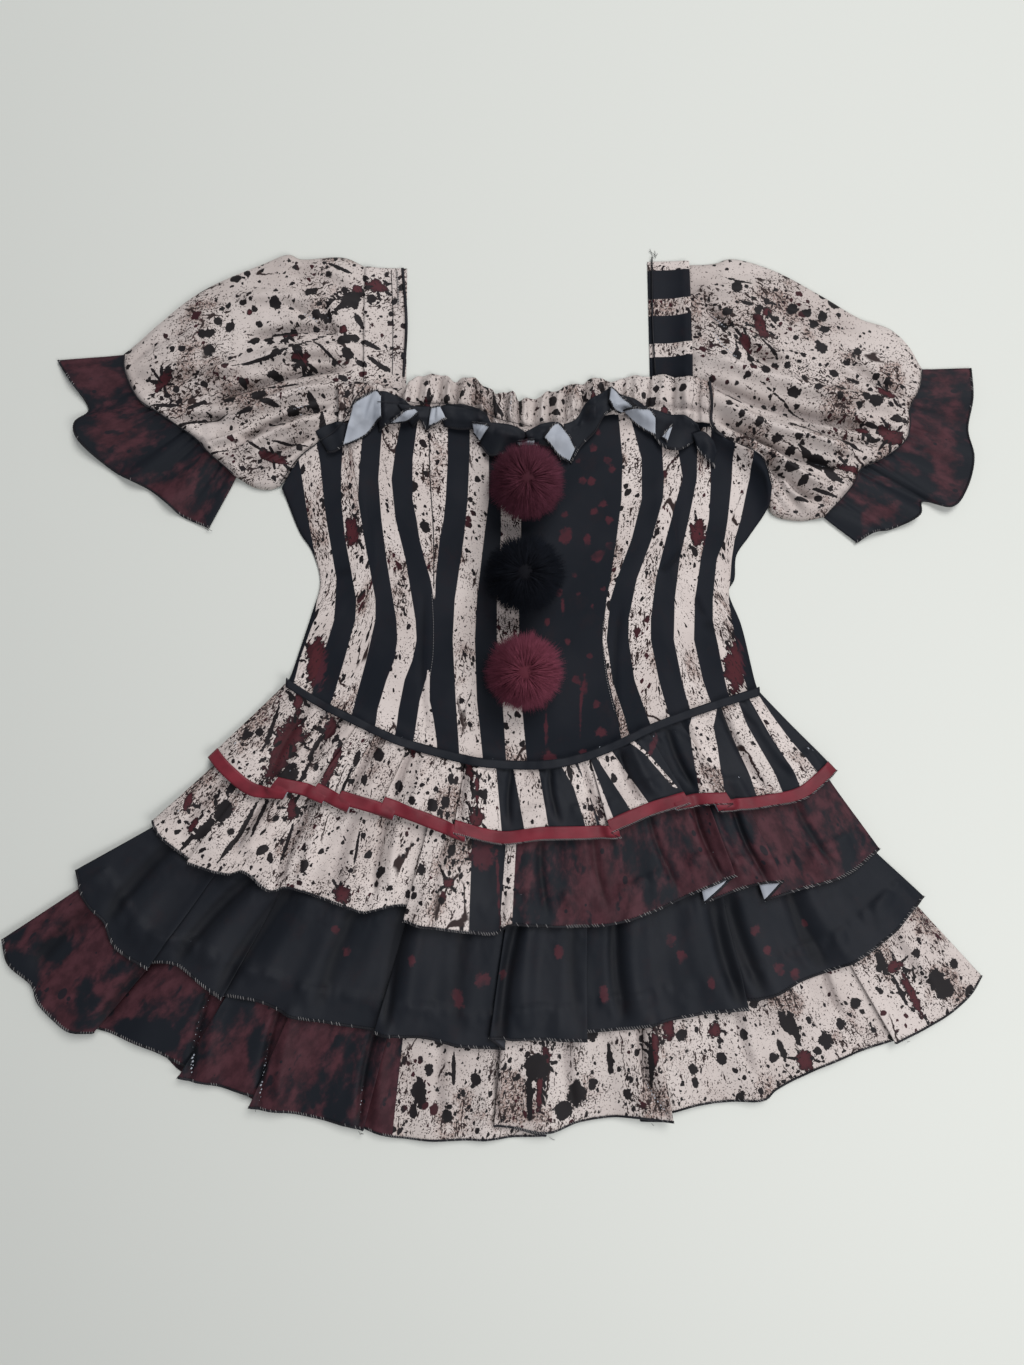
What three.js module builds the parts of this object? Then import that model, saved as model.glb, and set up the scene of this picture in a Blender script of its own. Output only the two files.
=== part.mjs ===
// A jester costume, laid flat on its back: striped bodice with puff sleeves, neck frill and ruffle,
// three fur pompoms, and a skirt of four gathered tiers.
// Millimetres, +Z up. The table is z = 0, the wearer's left to right runs along X, the neck is at +Y.
import * as THREE from 'three';

// Cloth and seams
const clothWall = 1.2; // thickness of a cloth wall
const steepest = 2.2; // most that a slope thickens the wall, measured straight up
const clearGap = 0.3; // air between pieces that touch
const seamLap = 4; // how far one piece lies over the next at a seam
const tuckUnder = 28; // a tier starts this far above the hem that covers it
const backInset = 3; // the back lies this far inside the front's outline
const cellSize = 2; // cell of the height map that the pieces are laid on
const cellReach = 0.75 * cellSize; // how far outside a triangle the middle of a cell it touches may lie
const smallWeight = 0.02; // a corner with less weight than this doesn't carry a point of the pile

// Skirt
const fanCentre = { x: 28, y: 232 }; // the tiers spread out from here
const rootShare = 0.35; // share of a fold's height that is left at the gathered edge
const rootInset = 0.01; // share of a tier's width that its gathered edge stays in from the hem's ends above
const rootSmooth = 0.04; // share of the width over which that edge is evened out
const ribbonDepth = 12;
const bandDepth = 8; // dark band along the waist

// Bodice and sleeves
const puffHeight = 9;
const sleeveGathers = 7;
const gatherDepth = 2.5;
const strapWidth = 34;
const bustHeight = 3; // rise of the bodice over the back

// Neck frill and ruffle
const fluteUneven = 0.5; // how much lower the lowest flutes are
const fluteTurn = 5.9; // how many times that comes and goes along a strip
const scallop = 3; // how far the flutes wave the lower edge
const waistShare = 0.45; // share of a flute's height that is left halfway down

// Pompoms
const coreRadius = 16;
const seatShare = 0.4; // share of the radius that rests on the bodice
const pomHeightShare = 0.74; // height of the centre over the bodice, as a share of the radius
const tuftRoot = 0.8; // share of a core face that a tuft's root covers
const tuftBelly = { at: 0.55, wider: 1.35 }; // where a tuft swells, and by how much
const tuftUneven = 0.12; // how much shorter the shortest tufts are
const tuftTurn = 0.137; // how often that comes and goes from face to face

const colours = {
  cream: 0xcdbebb, mottledRed: 0x4b262d, charcoal: 0x20242a, ribbonRed: 0x962837,
  pomRed: 0x5a202a, pomBlack: 0x0e1014,
};

// A map of how high the pile of cloth has grown
class Pile {
  constructor(minX, maxX, minY, maxY) {
    Object.assign(this, { minX, minY });
    this.wide = Math.ceil((maxX - minX) / cellSize);
    this.deep = Math.ceil((maxY - minY) / cellSize);
    this.tops = new Float64Array(this.wide * this.deep);
  }

  cells(x0, x1, y0, y1, visit) {
    const column = (x) => THREE.MathUtils.clamp(Math.floor((x - this.minX) / cellSize), 0, this.wide - 1);
    const row = (y) => THREE.MathUtils.clamp(Math.floor((y - this.minY) / cellSize), 0, this.deep - 1);
    for (let r = row(y0); r <= row(y1); r++) {
      for (let c = column(x0); c <= column(x1); c++) visit(r * this.wide + c, c, r);
    }
  }

  middle(column, row) {
    return new THREE.Vector3(this.minX + (column + 0.5) * cellSize, this.minY + (row + 0.5) * cellSize, 0);
  }

  highest(box) {
    let top = 0;
    this.cells(box.min.x, box.max.x, box.min.y, box.max.y, (k) => {
      top = Math.max(top, this.tops[k]);
    });
    return top;
  }

  // Raises the map to a triangle wherever the triangle passes over a cell
  cover(a, b, c) {
    const normal = new THREE.Vector3().subVectors(b, a).cross(new THREE.Vector3().subVectors(c, a));
    const box = new THREE.Box3().setFromPoints([a, b, c]);
    const highest = box.max.z;
    const flat = Math.abs(normal.z) > 1e-6;
    const slopeX = flat ? -normal.x / normal.z : 0;
    const slopeY = flat ? -normal.y / normal.z : 0;
    const spare = (Math.abs(slopeX) + Math.abs(slopeY)) * cellSize / 2;
    const turn = Math.sign(normal.z) || 1;
    const sides = [[a, b], [b, c], [c, a]].map(([from, to]) => {
      const length = Math.hypot(to.x - from.x, to.y - from.y) || 1;
      return { from, nx: -turn * (to.y - from.y) / length, ny: turn * (to.x - from.x) / length };
    });
    box.expandByScalar(cellSize);
    this.cells(box.min.x, box.max.x, box.min.y, box.max.y, (k, col, row) => {
      const { x, y } = this.middle(col, row);
      const inside = sides.every((s) => (x - s.from.x) * s.nx + (y - s.from.y) * s.ny > -cellReach);
      if (!inside) return;
      const height = flat ? a.z + slopeX * (x - a.x) + slopeY * (y - a.y) + spare : highest;
      this.tops[k] = Math.max(this.tops[k], Math.min(height, highest));
    });
  }
}

const pile = new Pile(-500, 440, -430, 430);
const costume = new THREE.Group();

function addMesh(name, geometry, colour, roughness) {
  const material = new THREE.MeshStandardMaterial({ color: colour, roughness, metalness: 0 });
  const mesh = new THREE.Mesh(geometry, material);
  mesh.name = name;
  costume.add(mesh);
  const spots = geometry.attributes.position;
  const corner = (k) => new THREE.Vector3().fromBufferAttribute(spots, geometry.index.getX(k));
  for (let k = 0; k < geometry.index.count; k += 3) pile.cover(corner(k), corner(k + 1), corner(k + 2));
}

// The points of a grid next to a point, itself among them
function around(grid, j, i) {
  const near = [];
  for (let dj = -1; dj <= 1; dj++) {
    for (let di = -1; di <= 1; di++) {
      if (grid[j + dj]?.[i + di] !== undefined) near.push([j + dj, i + di]);
    }
  }
  return near;
}

// Bridges the hollows of a grid of heights, and never lowers one
function bridged(heights, passes) {
  let rest = heights;
  for (let pass = 0; pass < passes; pass++) {
    rest = rest.map((row, j) => row.map((height, i) => {
      const near = around(rest, j, i);
      return Math.max(height, near.reduce((sum, [r, c]) => sum + rest[r][c], 0) / near.length);
    }));
  }
  return rest;
}

// The pile's cells under each triangle of a grid, with the weight of each corner there
function cellsUnder(grid) {
  const faces = [];
  const flatCopy = (p) => new THREE.Vector3(p.x, p.y, 0);
  for (let j = 0; j < grid.length - 1; j++) {
    for (let i = 0; i < grid[0].length - 1; i++) {
      const [a, b, c, d] = [[j, i], [j, i + 1], [j + 1, i + 1], [j + 1, i]];
      for (const corners of [[a, b, c], [a, c, d]]) {
        const face = new THREE.Triangle(...corners.map(([r, col]) => flatCopy(grid[r][col])));
        const box = new THREE.Box3().setFromPoints([face.a, face.b, face.c]).expandByScalar(cellSize);
        const spots = [];
        pile.cells(box.min.x, box.max.x, box.min.y, box.max.y, (k, col, row) => {
          if (pile.tops[k] === 0) return;
          const here = pile.middle(col, row);
          const nearest = face.closestPointToPoint(here, new THREE.Vector3());
          if (nearest.distanceTo(here) > cellSize) return;
          const weights = face.getBarycoord(nearest, new THREE.Vector3());
          if (weights) spots.push({ weights: weights.toArray(), least: pile.tops[k] + clearGap });
        });
        faces.push({ corners, spots });
      }
    }
  }
  return faces;
}

// Lets each point down in turn until the cloth round it just clears the pile
function letDown(rest, floor, grid) {
  const touching = new Map();
  for (const face of cellsUnder(grid)) {
    face.corners.forEach(([r, c], n) => {
      const key = r * grid[0].length + c;
      if (!touching.has(key)) touching.set(key, []);
      touching.get(key).push({ face, n });
    });
  }
  for (let j = 0; j < grid.length; j++) {
    for (let i = 0; i < grid[0].length; i++) {
      let slack = rest[j][i] - floor[j][i];
      for (const { face, n } of touching.get(j * grid[0].length + i)) {
        const heights = face.corners.map(([r, c]) => rest[r][c] + grid[r][c].z);
        for (const { weights, least } of face.spots) {
          if (weights[n] < smallWeight) continue;
          const height = weights[0] * heights[0] + weights[1] * heights[1] + weights[2] * heights[2];
          slack = Math.min(slack, (height - least) / weights[n]);
        }
      }
      rest[j][i] -= Math.max(0, slack);
    }
  }
}

// Lays a grid of cloth on the pile. grid[j][i] is a point whose z is the cloth's own rise there.
function layCloth(name, grid, colour, { settle = 3, roughness = 0.9 } = {}) {
  const standing = (points) => {
    const top = pile.highest(new THREE.Box3().setFromPoints(points).expandByScalar(cellSize));
    return top > 0 ? top + clearGap : 0;
  };
  const neighbours = (j, i) => around(grid, j, i).map(([r, c]) => grid[r][c]);
  const rest = grid.map((row, j) => row.map((spot, i) => standing(neighbours(j, i))));
  const floor = grid.map((row) => row.map((spot) => standing([spot])));
  letDown(rest, bridged(floor, settle), grid);
  const under = grid.map((row, j) => row.map((p, i) => new THREE.Vector3(p.x, p.y, rest[j][i] + p.z)));
  const over = under.map((row, j) => row.map((p, i) => {
    const slopes = around(grid, j, i).map(([r, c]) => {
      const run = Math.hypot(under[r][c].x - p.x, under[r][c].y - p.y);
      return run > 0 ? Math.abs(under[r][c].z - p.z) / run : 0;
    });
    const thicker = Math.min(steepest, Math.hypot(1, Math.max(...slopes)));
    return new THREE.Vector3(p.x, p.y, p.z + clothWall * thicker);
  }));
  addMesh(name, closedSheet(under, over, grid[0].length, grid.length), colour, roughness);
}

// Joins an under and an upper grid of points round their rim into one closed body
function closedSheet(under, over, wide, deep) {
  const positions = [...under.flat(), ...over.flat()].flatMap((p) => [p.x, p.y, p.z]);
  const half = wide * deep;
  const low = (j, i) => j * wide + i;
  const up = (j, i) => half + j * wide + i;
  const index = [];
  const quad = (a, b, c, d) => index.push(a, b, c, a, c, d);
  for (let j = 0; j < deep - 1; j++) {
    for (let i = 0; i < wide - 1; i++) {
      quad(up(j, i), up(j, i + 1), up(j + 1, i + 1), up(j + 1, i));
      quad(low(j, i), low(j + 1, i), low(j + 1, i + 1), low(j, i + 1));
    }
  }
  for (let i = 0; i < wide - 1; i++) {
    quad(up(0, i), low(0, i), low(0, i + 1), up(0, i + 1));
    quad(up(deep - 1, i + 1), low(deep - 1, i + 1), low(deep - 1, i), up(deep - 1, i));
  }
  for (let j = 0; j < deep - 1; j++) {
    quad(up(j + 1, 0), low(j + 1, 0), low(j, 0), up(j, 0));
    quad(up(j, wide - 1), low(j, wide - 1), low(j + 1, wide - 1), up(j + 1, wide - 1));
  }
  const a = over[0][0];
  const b = over[0][wide - 1];
  const c = over[deep - 1][0];
  const facesUp = (b.x - a.x) * (c.y - a.y) - (b.y - a.y) * (c.x - a.x) > 0;
  if (!facesUp) {
    for (let k = 0; k < index.length; k += 3) [index[k + 1], index[k + 2]] = [index[k + 2], index[k + 1]];
  }
  const geometry = new THREE.BufferGeometry();
  geometry.setAttribute('position', new THREE.Float32BufferAttribute(positions, 3));
  geometry.setIndex(index);
  return geometry;
}

// A smooth line through the points of a table, asked for by its share of the length
function line(points) {
  const spots = points.map(([x, y]) => new THREE.Vector3(x, y, 0));
  const curve = new THREE.CatmullRomCurve3(spots, false, 'centripetal');
  return (share) => curve.getPointAt(THREE.MathUtils.clamp(share, 0, 1));
}

const shares = (count) => Array.from({ length: count + 1 }, (_, k) => k / count);
const bump = (share) => Math.sin(Math.PI * share);
const wave = (share, count) => 0.5 - 0.5 * Math.cos(2 * Math.PI * count * share);

// A patch of cloth between four lines: top and bottom run left to right, left and right run downwards
function patch({ top, bottom, left, right }, across, down, rise) {
  return down.map((v) => across.map((u) => {
    const spot = top(u).multiplyScalar(1 - v).addScaledVector(bottom(u), v);
    spot.addScaledVector(left(v), 1 - u).addScaledVector(right(v), u);
    spot.addScaledVector(top(0), -(1 - u) * (1 - v)).addScaledVector(top(1), -u * (1 - v));
    spot.addScaledVector(bottom(0), -(1 - u) * v).addScaledVector(bottom(1), -u * v);
    spot.z = rise(u, v);
    return spot;
  }));
}

// Moves the outer points of a grid in, so that a back stays hidden under its front
function drawnIn(grid, by) {
  const middle = new THREE.Vector3();
  grid.flat().forEach((p) => middle.add(p));
  middle.divideScalar(grid.flat().length);
  return grid.map((row) => row.map((p) => {
    const out = new THREE.Vector3(p.x - middle.x, p.y - middle.y, 0);
    const length = out.length();
    return p.clone().addScaledVector(out, length > by ? -by / length : 0);
  }));
}

// Lines that the bodice, sleeves and skirt share: x and y of their points
const waist = line([
  [-213, 12], [-184, -6], [-158, -19], [-112, -40], [-76, -51], [-40, -59], [4, -62], [40, -58],
  [76, -46],
  [112, -29], [158, -12], [209, 4],
]);
const leftSide = line([[-218, 190], [-202, 150], [-191, 133], [-184, 106], [-192, 76], [-204, 40], [-213, 12]]);
const rightSide = line([
  [219, 190], [217, 172], [202, 148], [190, 130], [188, 108], [183, 98], [194, 68], [202, 36], [209, 4],
]);
const neckEdge = line([
  [-218, 190], [-202, 214], [-186, 228], [-165, 246], [-163, 274], [-120, 276], [-60, 274], [0, 262],
  [60, 274],
  [120, 276], [154, 282], [163, 262], [165, 244], [189, 226], [209, 214], [219, 190],
]);
const leftArmhole = line([
  [-142, 386], [-144, 325], [-153, 284], [-162, 262], [-165, 243], [-186, 226], [-202, 214], [-220, 192],
]);
const rightArmhole = line([
  [148, 390], [149, 330], [155, 285], [162, 262], [165, 240], [190, 225], [210, 213], [219, 192],
]);
const leftCuffSeam = line([
  [-360, 310], [-357, 292], [-345, 268], [-328, 257], [-306, 242], [-292, 232], [-281, 220], [-259, 200],
]);
const rightCuffSeam = line([
  [356, 297], [352, 277], [344, 261], [341, 234], [320, 216], [299, 206], [292, 192], [268, 164],
]);

// Bodice back and front
const bodice = { top: neckEdge, bottom: waist, left: leftSide, right: rightSide };
const flat = () => 0;
const bandLines = (depth) => ({
  top: (u) => waist(u).setY(waist(u).y + depth),
  bottom: (u) => waist(u),
  left: (v) => waist(0).setY(waist(0).y + depth * (1 - v)),
  right: (v) => waist(1).setY(waist(1).y + depth * (1 - v)),
});
const layBack = (name, grid, colour) => layCloth(name, drawnIn(grid, backInset), colour, { settle: 0 });
layBack('waist_band_back', patch(bandLines(bandDepth), shares(20), [0, 1], flat), colours.charcoal);
const backRows = [0, 0.1, 0.3, 0.5, 0.7, 0.86, 0.94, 1];
layBack('bodice_back', patch(bodice, shares(16), backRows, flat), colours.mottledRed);

// Puff sleeves and their cuff flounces
// hem rows: x, y of the hem and how high the flounce stands there
const sleeves = [
  {
    side: 'left', armhole: leftArmhole, cuffSeam: leftCuffSeam,
    crown: line([
      [-142, 386], [-162, 397], [-202, 396], [-212, 400], [-234, 392], [-292, 366], [-344, 324],
      [-360, 310],
    ]),
    under: line([[-220, 192], [-230, 189], [-243, 191], [-259, 200]]),
    hem: [
      [-420, 305, 1], [-408, 287, 5], [-392, 260, 1], [-403, 248, 5], [-400, 234, 8], [-369, 205, 2],
      [-352, 196, 6],
      [-338, 189, 2], [-318, 174, 6], [-310, 166, 1], [-284, 154, 1],
    ],
  },
  {
    side: 'right', armhole: rightArmhole, cuffSeam: rightCuffSeam,
    crown: line([
      [148, 390], [171, 392], [184, 396], [220, 387], [266, 363], [302, 342], [328, 333], [345, 317],
      [356, 297],
    ]),
    under: line([[219, 192], [221, 168], [245, 161], [268, 164]]),
    hem: [
      [401, 298, 1], [400, 270, 6], [398, 243, 1], [401, 216, 7], [396, 189, 3], [382, 173, 7],
      [357, 178, 1],
      [353, 166, 6], [328, 153, 2], [312, 150, 6], [298, 141, 1],
    ],
  },
];

function cuffGrid({ cuffSeam, hem }, rows, rising) {
  const seam = (k) => cuffSeam(k / (hem.length - 1));
  return rows.map((v) => hem.map(([x, y, height], k) => {
    const root = seam(k);
    const toHem = new THREE.Vector3(x - root.x, y - root.y, 0);
    const start = -seamLap / toHem.length();
    const share = start + (1 - start) * v;
    const rise = rising * height * (rootShare + (1 - rootShare) * v);
    return root.clone().addScaledVector(toHem, share).setZ(rise);
  }));
}

// Adds a column halfway between each two of a grid
function withHalves(grid) {
  return grid.map((row) => row.flatMap((p, i) => (i ? [row[i - 1].clone().lerp(p, 0.5), p] : [p])));
}

function sleeveGrid({ crown, under, armhole, cuffSeam }, across, down, rise) {
  return patch({ top: crown, bottom: under, left: armhole, right: cuffSeam }, across, down, rise);
}

const puffRise = (u, v) => {
  const gathers = gatherDepth * wave(v, sleeveGathers) * (1 - 0.5 * bump(u));
  return bump(v) * (puffHeight * bump(u) + gathers);
};
for (const sleeve of sleeves) {
  layBack(`sleeve_${sleeve.side}_back`, sleeveGrid(sleeve, shares(8), shares(6), flat), colours.cream);
  layBack(`cuff_${sleeve.side}_back`, cuffGrid(sleeve, [0, 0.3, 1], 0), colours.mottledRed);
}
for (const sleeve of sleeves) {
  const front = sleeveGrid(sleeve, shares(8), shares(sleeveGathers * 3), puffRise);
  layCloth(`cuff_${sleeve.side}_front`, withHalves(cuffGrid(sleeve, shares(4), 1)), colours.mottledRed);
  layCloth(`sleeve_${sleeve.side}_front`, front, colours.cream);
}

// Skirt tiers. Each row is a place along the hem: x, y, and how high the cloth stands there.
// Two rows 3 mm apart are the edge of a pleat that lies over the next one.
const tiers = [
  {
    name: 'tier_1', colour: colours.cream,
    hem: [
      [-283, -51, 1], [-266, -68, 4], [-248, -81, 2], [-222, -87, 6], [-219, -85, 1], [-200, -90, 3],
      [-189, -93, 6],
      [-186, -88, 1], [-164, -101, 5], [-161, -98, 1], [-140, -103, 3], [-123, -107, 6], [-120, -103, 1],
      [-86, -113, 4], [-56, -126, 5], [-22, -128, 2], [14, -124, 4], [50, -123, 5], [79, -122, 4],
      [82, -119, 1],
      [112, -102, 4], [140, -91, 6], [144, -97, 1], [173, -90, 5], [178, -98, 1], [212, -95, 4],
      [248, -87, 3],
      [278, -63, 1],
    ],
  },
  {
    name: 'tier_2', colour: colours.mottledRed,
    hem: [
      [-333, -108, 1], [-324, -122, 4], [-294, -148, 6], [-288, -144, 1], [-261, -154, 6],
      [-252, -152, 2],
      [-225, -169, 5], [-212, -167, 2], [-171, -179, 5], [-144, -189, 4], [-135, -187, 7],
      [-112, -183, 2],
      [-100, -186, 6], [-97, -197, 1], [-54, -206, 5], [-27, -208, 2], [-14, -200, 5], [32, -202, 1],
      [76, -199, 4],
      [104, -193, 5], [140, -176, 3], [158, -177, 8], [163, -179, 2], [204, -164, 4], [209, -174, 8],
      [215, -177, 2],
      [248, -169, 3], [284, -155, 4], [316, -133, 1],
    ],
  },
  {
    name: 'tier_3', colour: colours.charcoal,
    hem: [
      [-402, -152, 1], [-390, -182, 4], [-374, -198, 6], [-366, -219, 2], [-338, -237, 6],
      [-334, -234, 1],
      [-312, -234, 3], [-288, -252, 2], [-273, -264, 6], [-269, -263, 1], [-235, -269, 3],
      [-202, -281, 5],
      [-158, -290, 2], [-126, -293, 7], [-122, -297, 1], [-86, -301, 4], [-54, -308, 5], [-24, -309, 7],
      [-20, -297, 1], [18, -301, 3], [50, -301, 6], [54, -296, 1], [104, -290, 3], [158, -279, 3],
      [192, -274, 7],
      [197, -268, 1], [216, -264, 6], [248, -250, 2], [292, -232, 5], [328, -205, 4], [357, -176, 1],
    ],
  },
  {
    name: 'tier_4', colour: colours.cream,
    hem: [
      [-468, -214, 1], [-461, -236, 4], [-441, -256, 2], [-435, -270, 5], [-408, -294, 6],
      [-393, -297, 4],
      [-386, -291, 1], [-338, -311, 4], [-302, -333, 6], [-298, -339, 1], [-265, -348, 4],
      [-238, -357, 6],
      [-235, -364, 1], [-202, -371, 4], [-150, -383, 6], [-145, -382, 1], [-117, -391, 4],
      [-76, -394, 3],
      [-22, -393, 6], [-18, -390, 2], [21, -385, 5], [50, -377, 2], [90, -373, 3], [127, -374, 7],
      [132, -366, 1],
      [148, -364, 4], [181, -360, 2], [214, -357, 5], [225, -349, 2], [274, -324, 5], [305, -313, 2],
      [338, -302, 6],
      [344, -305, 1], [374, -284, 4], [398, -265, 3], [410, -248, 1],
    ],
  },
];

const hemShare = (hem, x) => (x - hem[0][0]) / (hem.at(-1)[0] - hem[0][0]);

function hemAt(hem, share) {
  const x = hem[0][0] + share * (hem.at(-1)[0] - hem[0][0]);
  const k = THREE.MathUtils.clamp(hem.findIndex((row) => row[0] >= x), 1, hem.length - 1);
  const [from, to] = [hem[k - 1], hem[k]];
  return new THREE.Vector3(x, from[1] + (to[1] - from[1]) * (x - from[0]) / (to[0] - from[0]), 0);
}

// The gathered edge of a tier: the waist for the first, and for the others a line under the hem above
function tierRoot(level) {
  if (level === 0) return (share) => waist(share).setY(waist(share).y + seamLap);
  const above = tiers[level - 1].hem;
  return (share) => {
    const inside = (near) => THREE.MathUtils.clamp(near, rootInset, 1 - rootInset);
    const spot = hemAt(above, inside(share));
    const near = [-rootSmooth, 0, rootSmooth].map((aside) => hemAt(above, inside(share + aside)).y);
    spot.y = (near[0] + near[1] + near[2]) / near.length;
    return spot.add(new THREE.Vector3(fanCentre.x - spot.x, fanCentre.y - spot.y, 0).setLength(tuckUnder));
  };
}

function tierGrid(level, down, lifted) {
  const { hem } = tiers[level];
  const root = tierRoot(level);
  return down.map((v) => hem.map(([x, y, height]) => {
    const spot = root(hemShare(hem, x)).lerp(new THREE.Vector3(x, y, 0), v);
    return spot.setZ(lifted * height * (rootShare + (1 - rootShare) * v));
  }));
}

function ribbonGrid(inset) {
  const grid = tierGrid(0, [0, 1], 0);
  const depth = ribbonDepth + inset;
  return [depth, inset].map((up) => grid[1].map((p, i) => {
    const inward = grid[0][i].clone().sub(p).setZ(0).setLength(up);
    return p.clone().add(inward);
  }));
}

layCloth('ribbon_back', ribbonGrid(backInset), colours.ribbonRed, { settle: 0, roughness: 0.45 });
tiers.forEach(({ name, colour }, level) => {
  const everySecond = (row) => row.filter((_, i) => i % 2 === 0 || i === row.length - 1);
  layBack(`${name}_back`, tierGrid(level, [0, 0.25, 0.5, 1], 0).map(everySecond), colour);
});
for (let level = tiers.length - 1; level >= 0; level--) {
  const { name, colour } = tiers[level];
  layCloth(`${name}_front`, tierGrid(level, shares(4), 1), colour);
}
layCloth('ribbon_front', ribbonGrid(0), colours.ribbonRed, { settle: 0, roughness: 0.45 });

// Straps
const straps = [
  { side: 'left', top: [-126, 388], foot: [-127, 266], peek: 3, colour: colours.cream },
  { side: 'right', top: [130, 394], foot: [133, 266], peek: -3, colour: colours.charcoal },
];
for (const { side, top, foot, peek, colour } of straps) {
  for (const layer of ['back', 'front']) {
    const shift = layer === 'back' ? peek : 0;
    const grid = shares(8).map((v) => shares(3).map((u) => {
      const x = top[0] + (foot[0] - top[0]) * v + shift + (u - 0.5) * strapWidth;
      return new THREE.Vector3(x, top[1] + (foot[1] - top[1]) * v, layer === 'front' ? bump(v) : 0);
    }));
    layCloth(`strap_${side}_${layer}`, grid, colour, { settle: 1 });
  }
}

// Bodice front with its two darts, long furrows from the neck to the waist
const darts = { at: [0.31, 0.68], halfWidth: 0.012, depth: 2.5 };
const dartSides = darts.at.flatMap((at) => [at - darts.halfWidth, at, at + darts.halfWidth]);
const evenly = shares(16).filter((u) => darts.at.every((at) => Math.abs(u - at) > darts.halfWidth));
const bodiceRise = (u, v) => {
  const furrow = darts.at.includes(u) ? 0 : darts.depth;
  return bump(v) * (furrow + bustHeight * bump(u));
};
const bodiceFront = patch(bodice, [...evenly, ...dartSides].sort((a, b) => a - b), shares(12), bodiceRise);
layCloth('bodice_front', bodiceFront, colours.cream);
const bandFront = patch(bandLines(bandDepth), shares(24), [0, 1], flat);
layCloth('waist_band_front', bandFront, colours.charcoal, { settle: 1 });

// A strip between two lines, waved across its depth by its gathers
function layFluted(name, { upper, lower, flutes, tall, samples }, colour) {
  const grid = [0, 0.5, 1].map((v) => shares(flutes * samples).map((u) => {
    const uneven = 1 - fluteUneven * wave(u, fluteTurn);
    const spot = upper(u).lerp(lower(u), v);
    spot.y -= scallop * v * Math.cos(2 * Math.PI * flutes * u);
    return spot.setZ(tall * uneven * wave(u, flutes) * Math.max(waistShare, Math.abs(2 * v - 1)));
  }));
  layCloth(name, grid, colour, { settle: 1 });
}
layFluted('neck_ruffle', {
  upper: line([
    [-176, 240], [-158, 256], [-135, 270], [-94, 266], [-50, 262], [4, 248], [58, 268], [104, 264],
    [150, 252], [172, 236],
  ]),
  lower: line([
    [-184, 226], [-158, 230], [-128, 240], [-94, 240], [-40, 236], [4, 224], [50, 226], [104, 240],
    [140, 224], [166, 208],
  ]),
  flutes: 13, tall: 6, samples: 4,
}, colours.charcoal);
layFluted('neck_frill', {
  upper: line([
    [-162, 277], [-132, 281], [-110, 274], [-94, 290], [-62, 287], [-30, 278], [4, 269], [32, 274],
    [72, 289],
    [112, 290], [164, 284],
  ]),
  lower: line([
    [-162, 250], [-135, 258], [-94, 256], [-50, 254], [-20, 244], [4, 238], [32, 242], [58, 256],
    [104, 258], [162, 248],
  ]),
  flutes: 22, tall: 5, samples: 3,
}, colours.cream);

// Fur pompoms: a round core with a tuft of fur on each of its faces, which swells and then tapers
function pompom(name, { x, y, radius }, colour) {
  const core = new THREE.IcosahedronGeometry(coreRadius, 1).attributes.position;
  let seat = 0;
  const near = radius * seatShare;
  pile.cells(x - near, x + near, y - near, y + near, (k) => {
    seat = Math.max(seat, pile.tops[k] + clearGap);
  });
  const height = seat + pomHeightShare * radius;
  const spots = new Map();
  const positions = [];
  const place = (p) => {
    const key = [p.x, p.y, p.z].map((value) => value.toFixed(3)).join();
    if (!spots.has(key)) {
      spots.set(key, positions.length / 3);
      positions.push(x + p.x, y + p.y, height + p.z);
    }
    return spots.get(key);
  };
  const index = [];
  for (let k = 0; k < core.count; k += 3) {
    const face = [0, 1, 2].map((n) => new THREE.Vector3().fromBufferAttribute(core, k + n));
    const middle = face[0].clone().add(face[1]).add(face[2]).divideScalar(3);
    const reach = radius * (1 - tuftUneven * wave(k, tuftTurn));
    const fits = Math.min(1, (seat - height) / Math.min(-1e-6, middle.clone().setLength(reach).z));
    const tip = middle.clone().setLength(Math.max(coreRadius + 1, reach * fits));
    const belly = coreRadius + (tip.length() - coreRadius) * tuftBelly.at;
    const roots = face.map((p) => middle.clone().lerp(p, tuftRoot));
    const outward = middle.clone().setLength(belly);
    const swell = roots.map((p) => p.clone().sub(middle).multiplyScalar(tuftBelly.wider).add(outward));
    const [a, b, c] = face.map(place);
    const [ra, rb, rc] = roots.map(place);
    const [sa, sb, sc] = swell.map(place);
    const top = place(tip);
    index.push(a, b, rb, a, rb, ra, b, c, rc, b, rc, rb, c, a, ra, c, ra, rc);
    index.push(ra, rb, sb, ra, sb, sa, rb, rc, sc, rb, sc, sb, rc, ra, sa, rc, sa, sc);
    index.push(sa, sb, top, sb, sc, top, sc, sa, top);
  }
  const geometry = new THREE.BufferGeometry();
  geometry.setAttribute('position', new THREE.Float32BufferAttribute(positions, 3));
  geometry.setIndex(index);
  addMesh(name, geometry, colour, 1);
}
pompom('pompom_top', { x: 3, y: 195, radius: 36 }, colours.pomRed);
pompom('pompom_middle', { x: -1, y: 114, radius: 37 }, colours.pomBlack);
pompom('pompom_bottom', { x: -1, y: 25, radius: 36 }, colours.pomRed);

export default costume;
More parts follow.
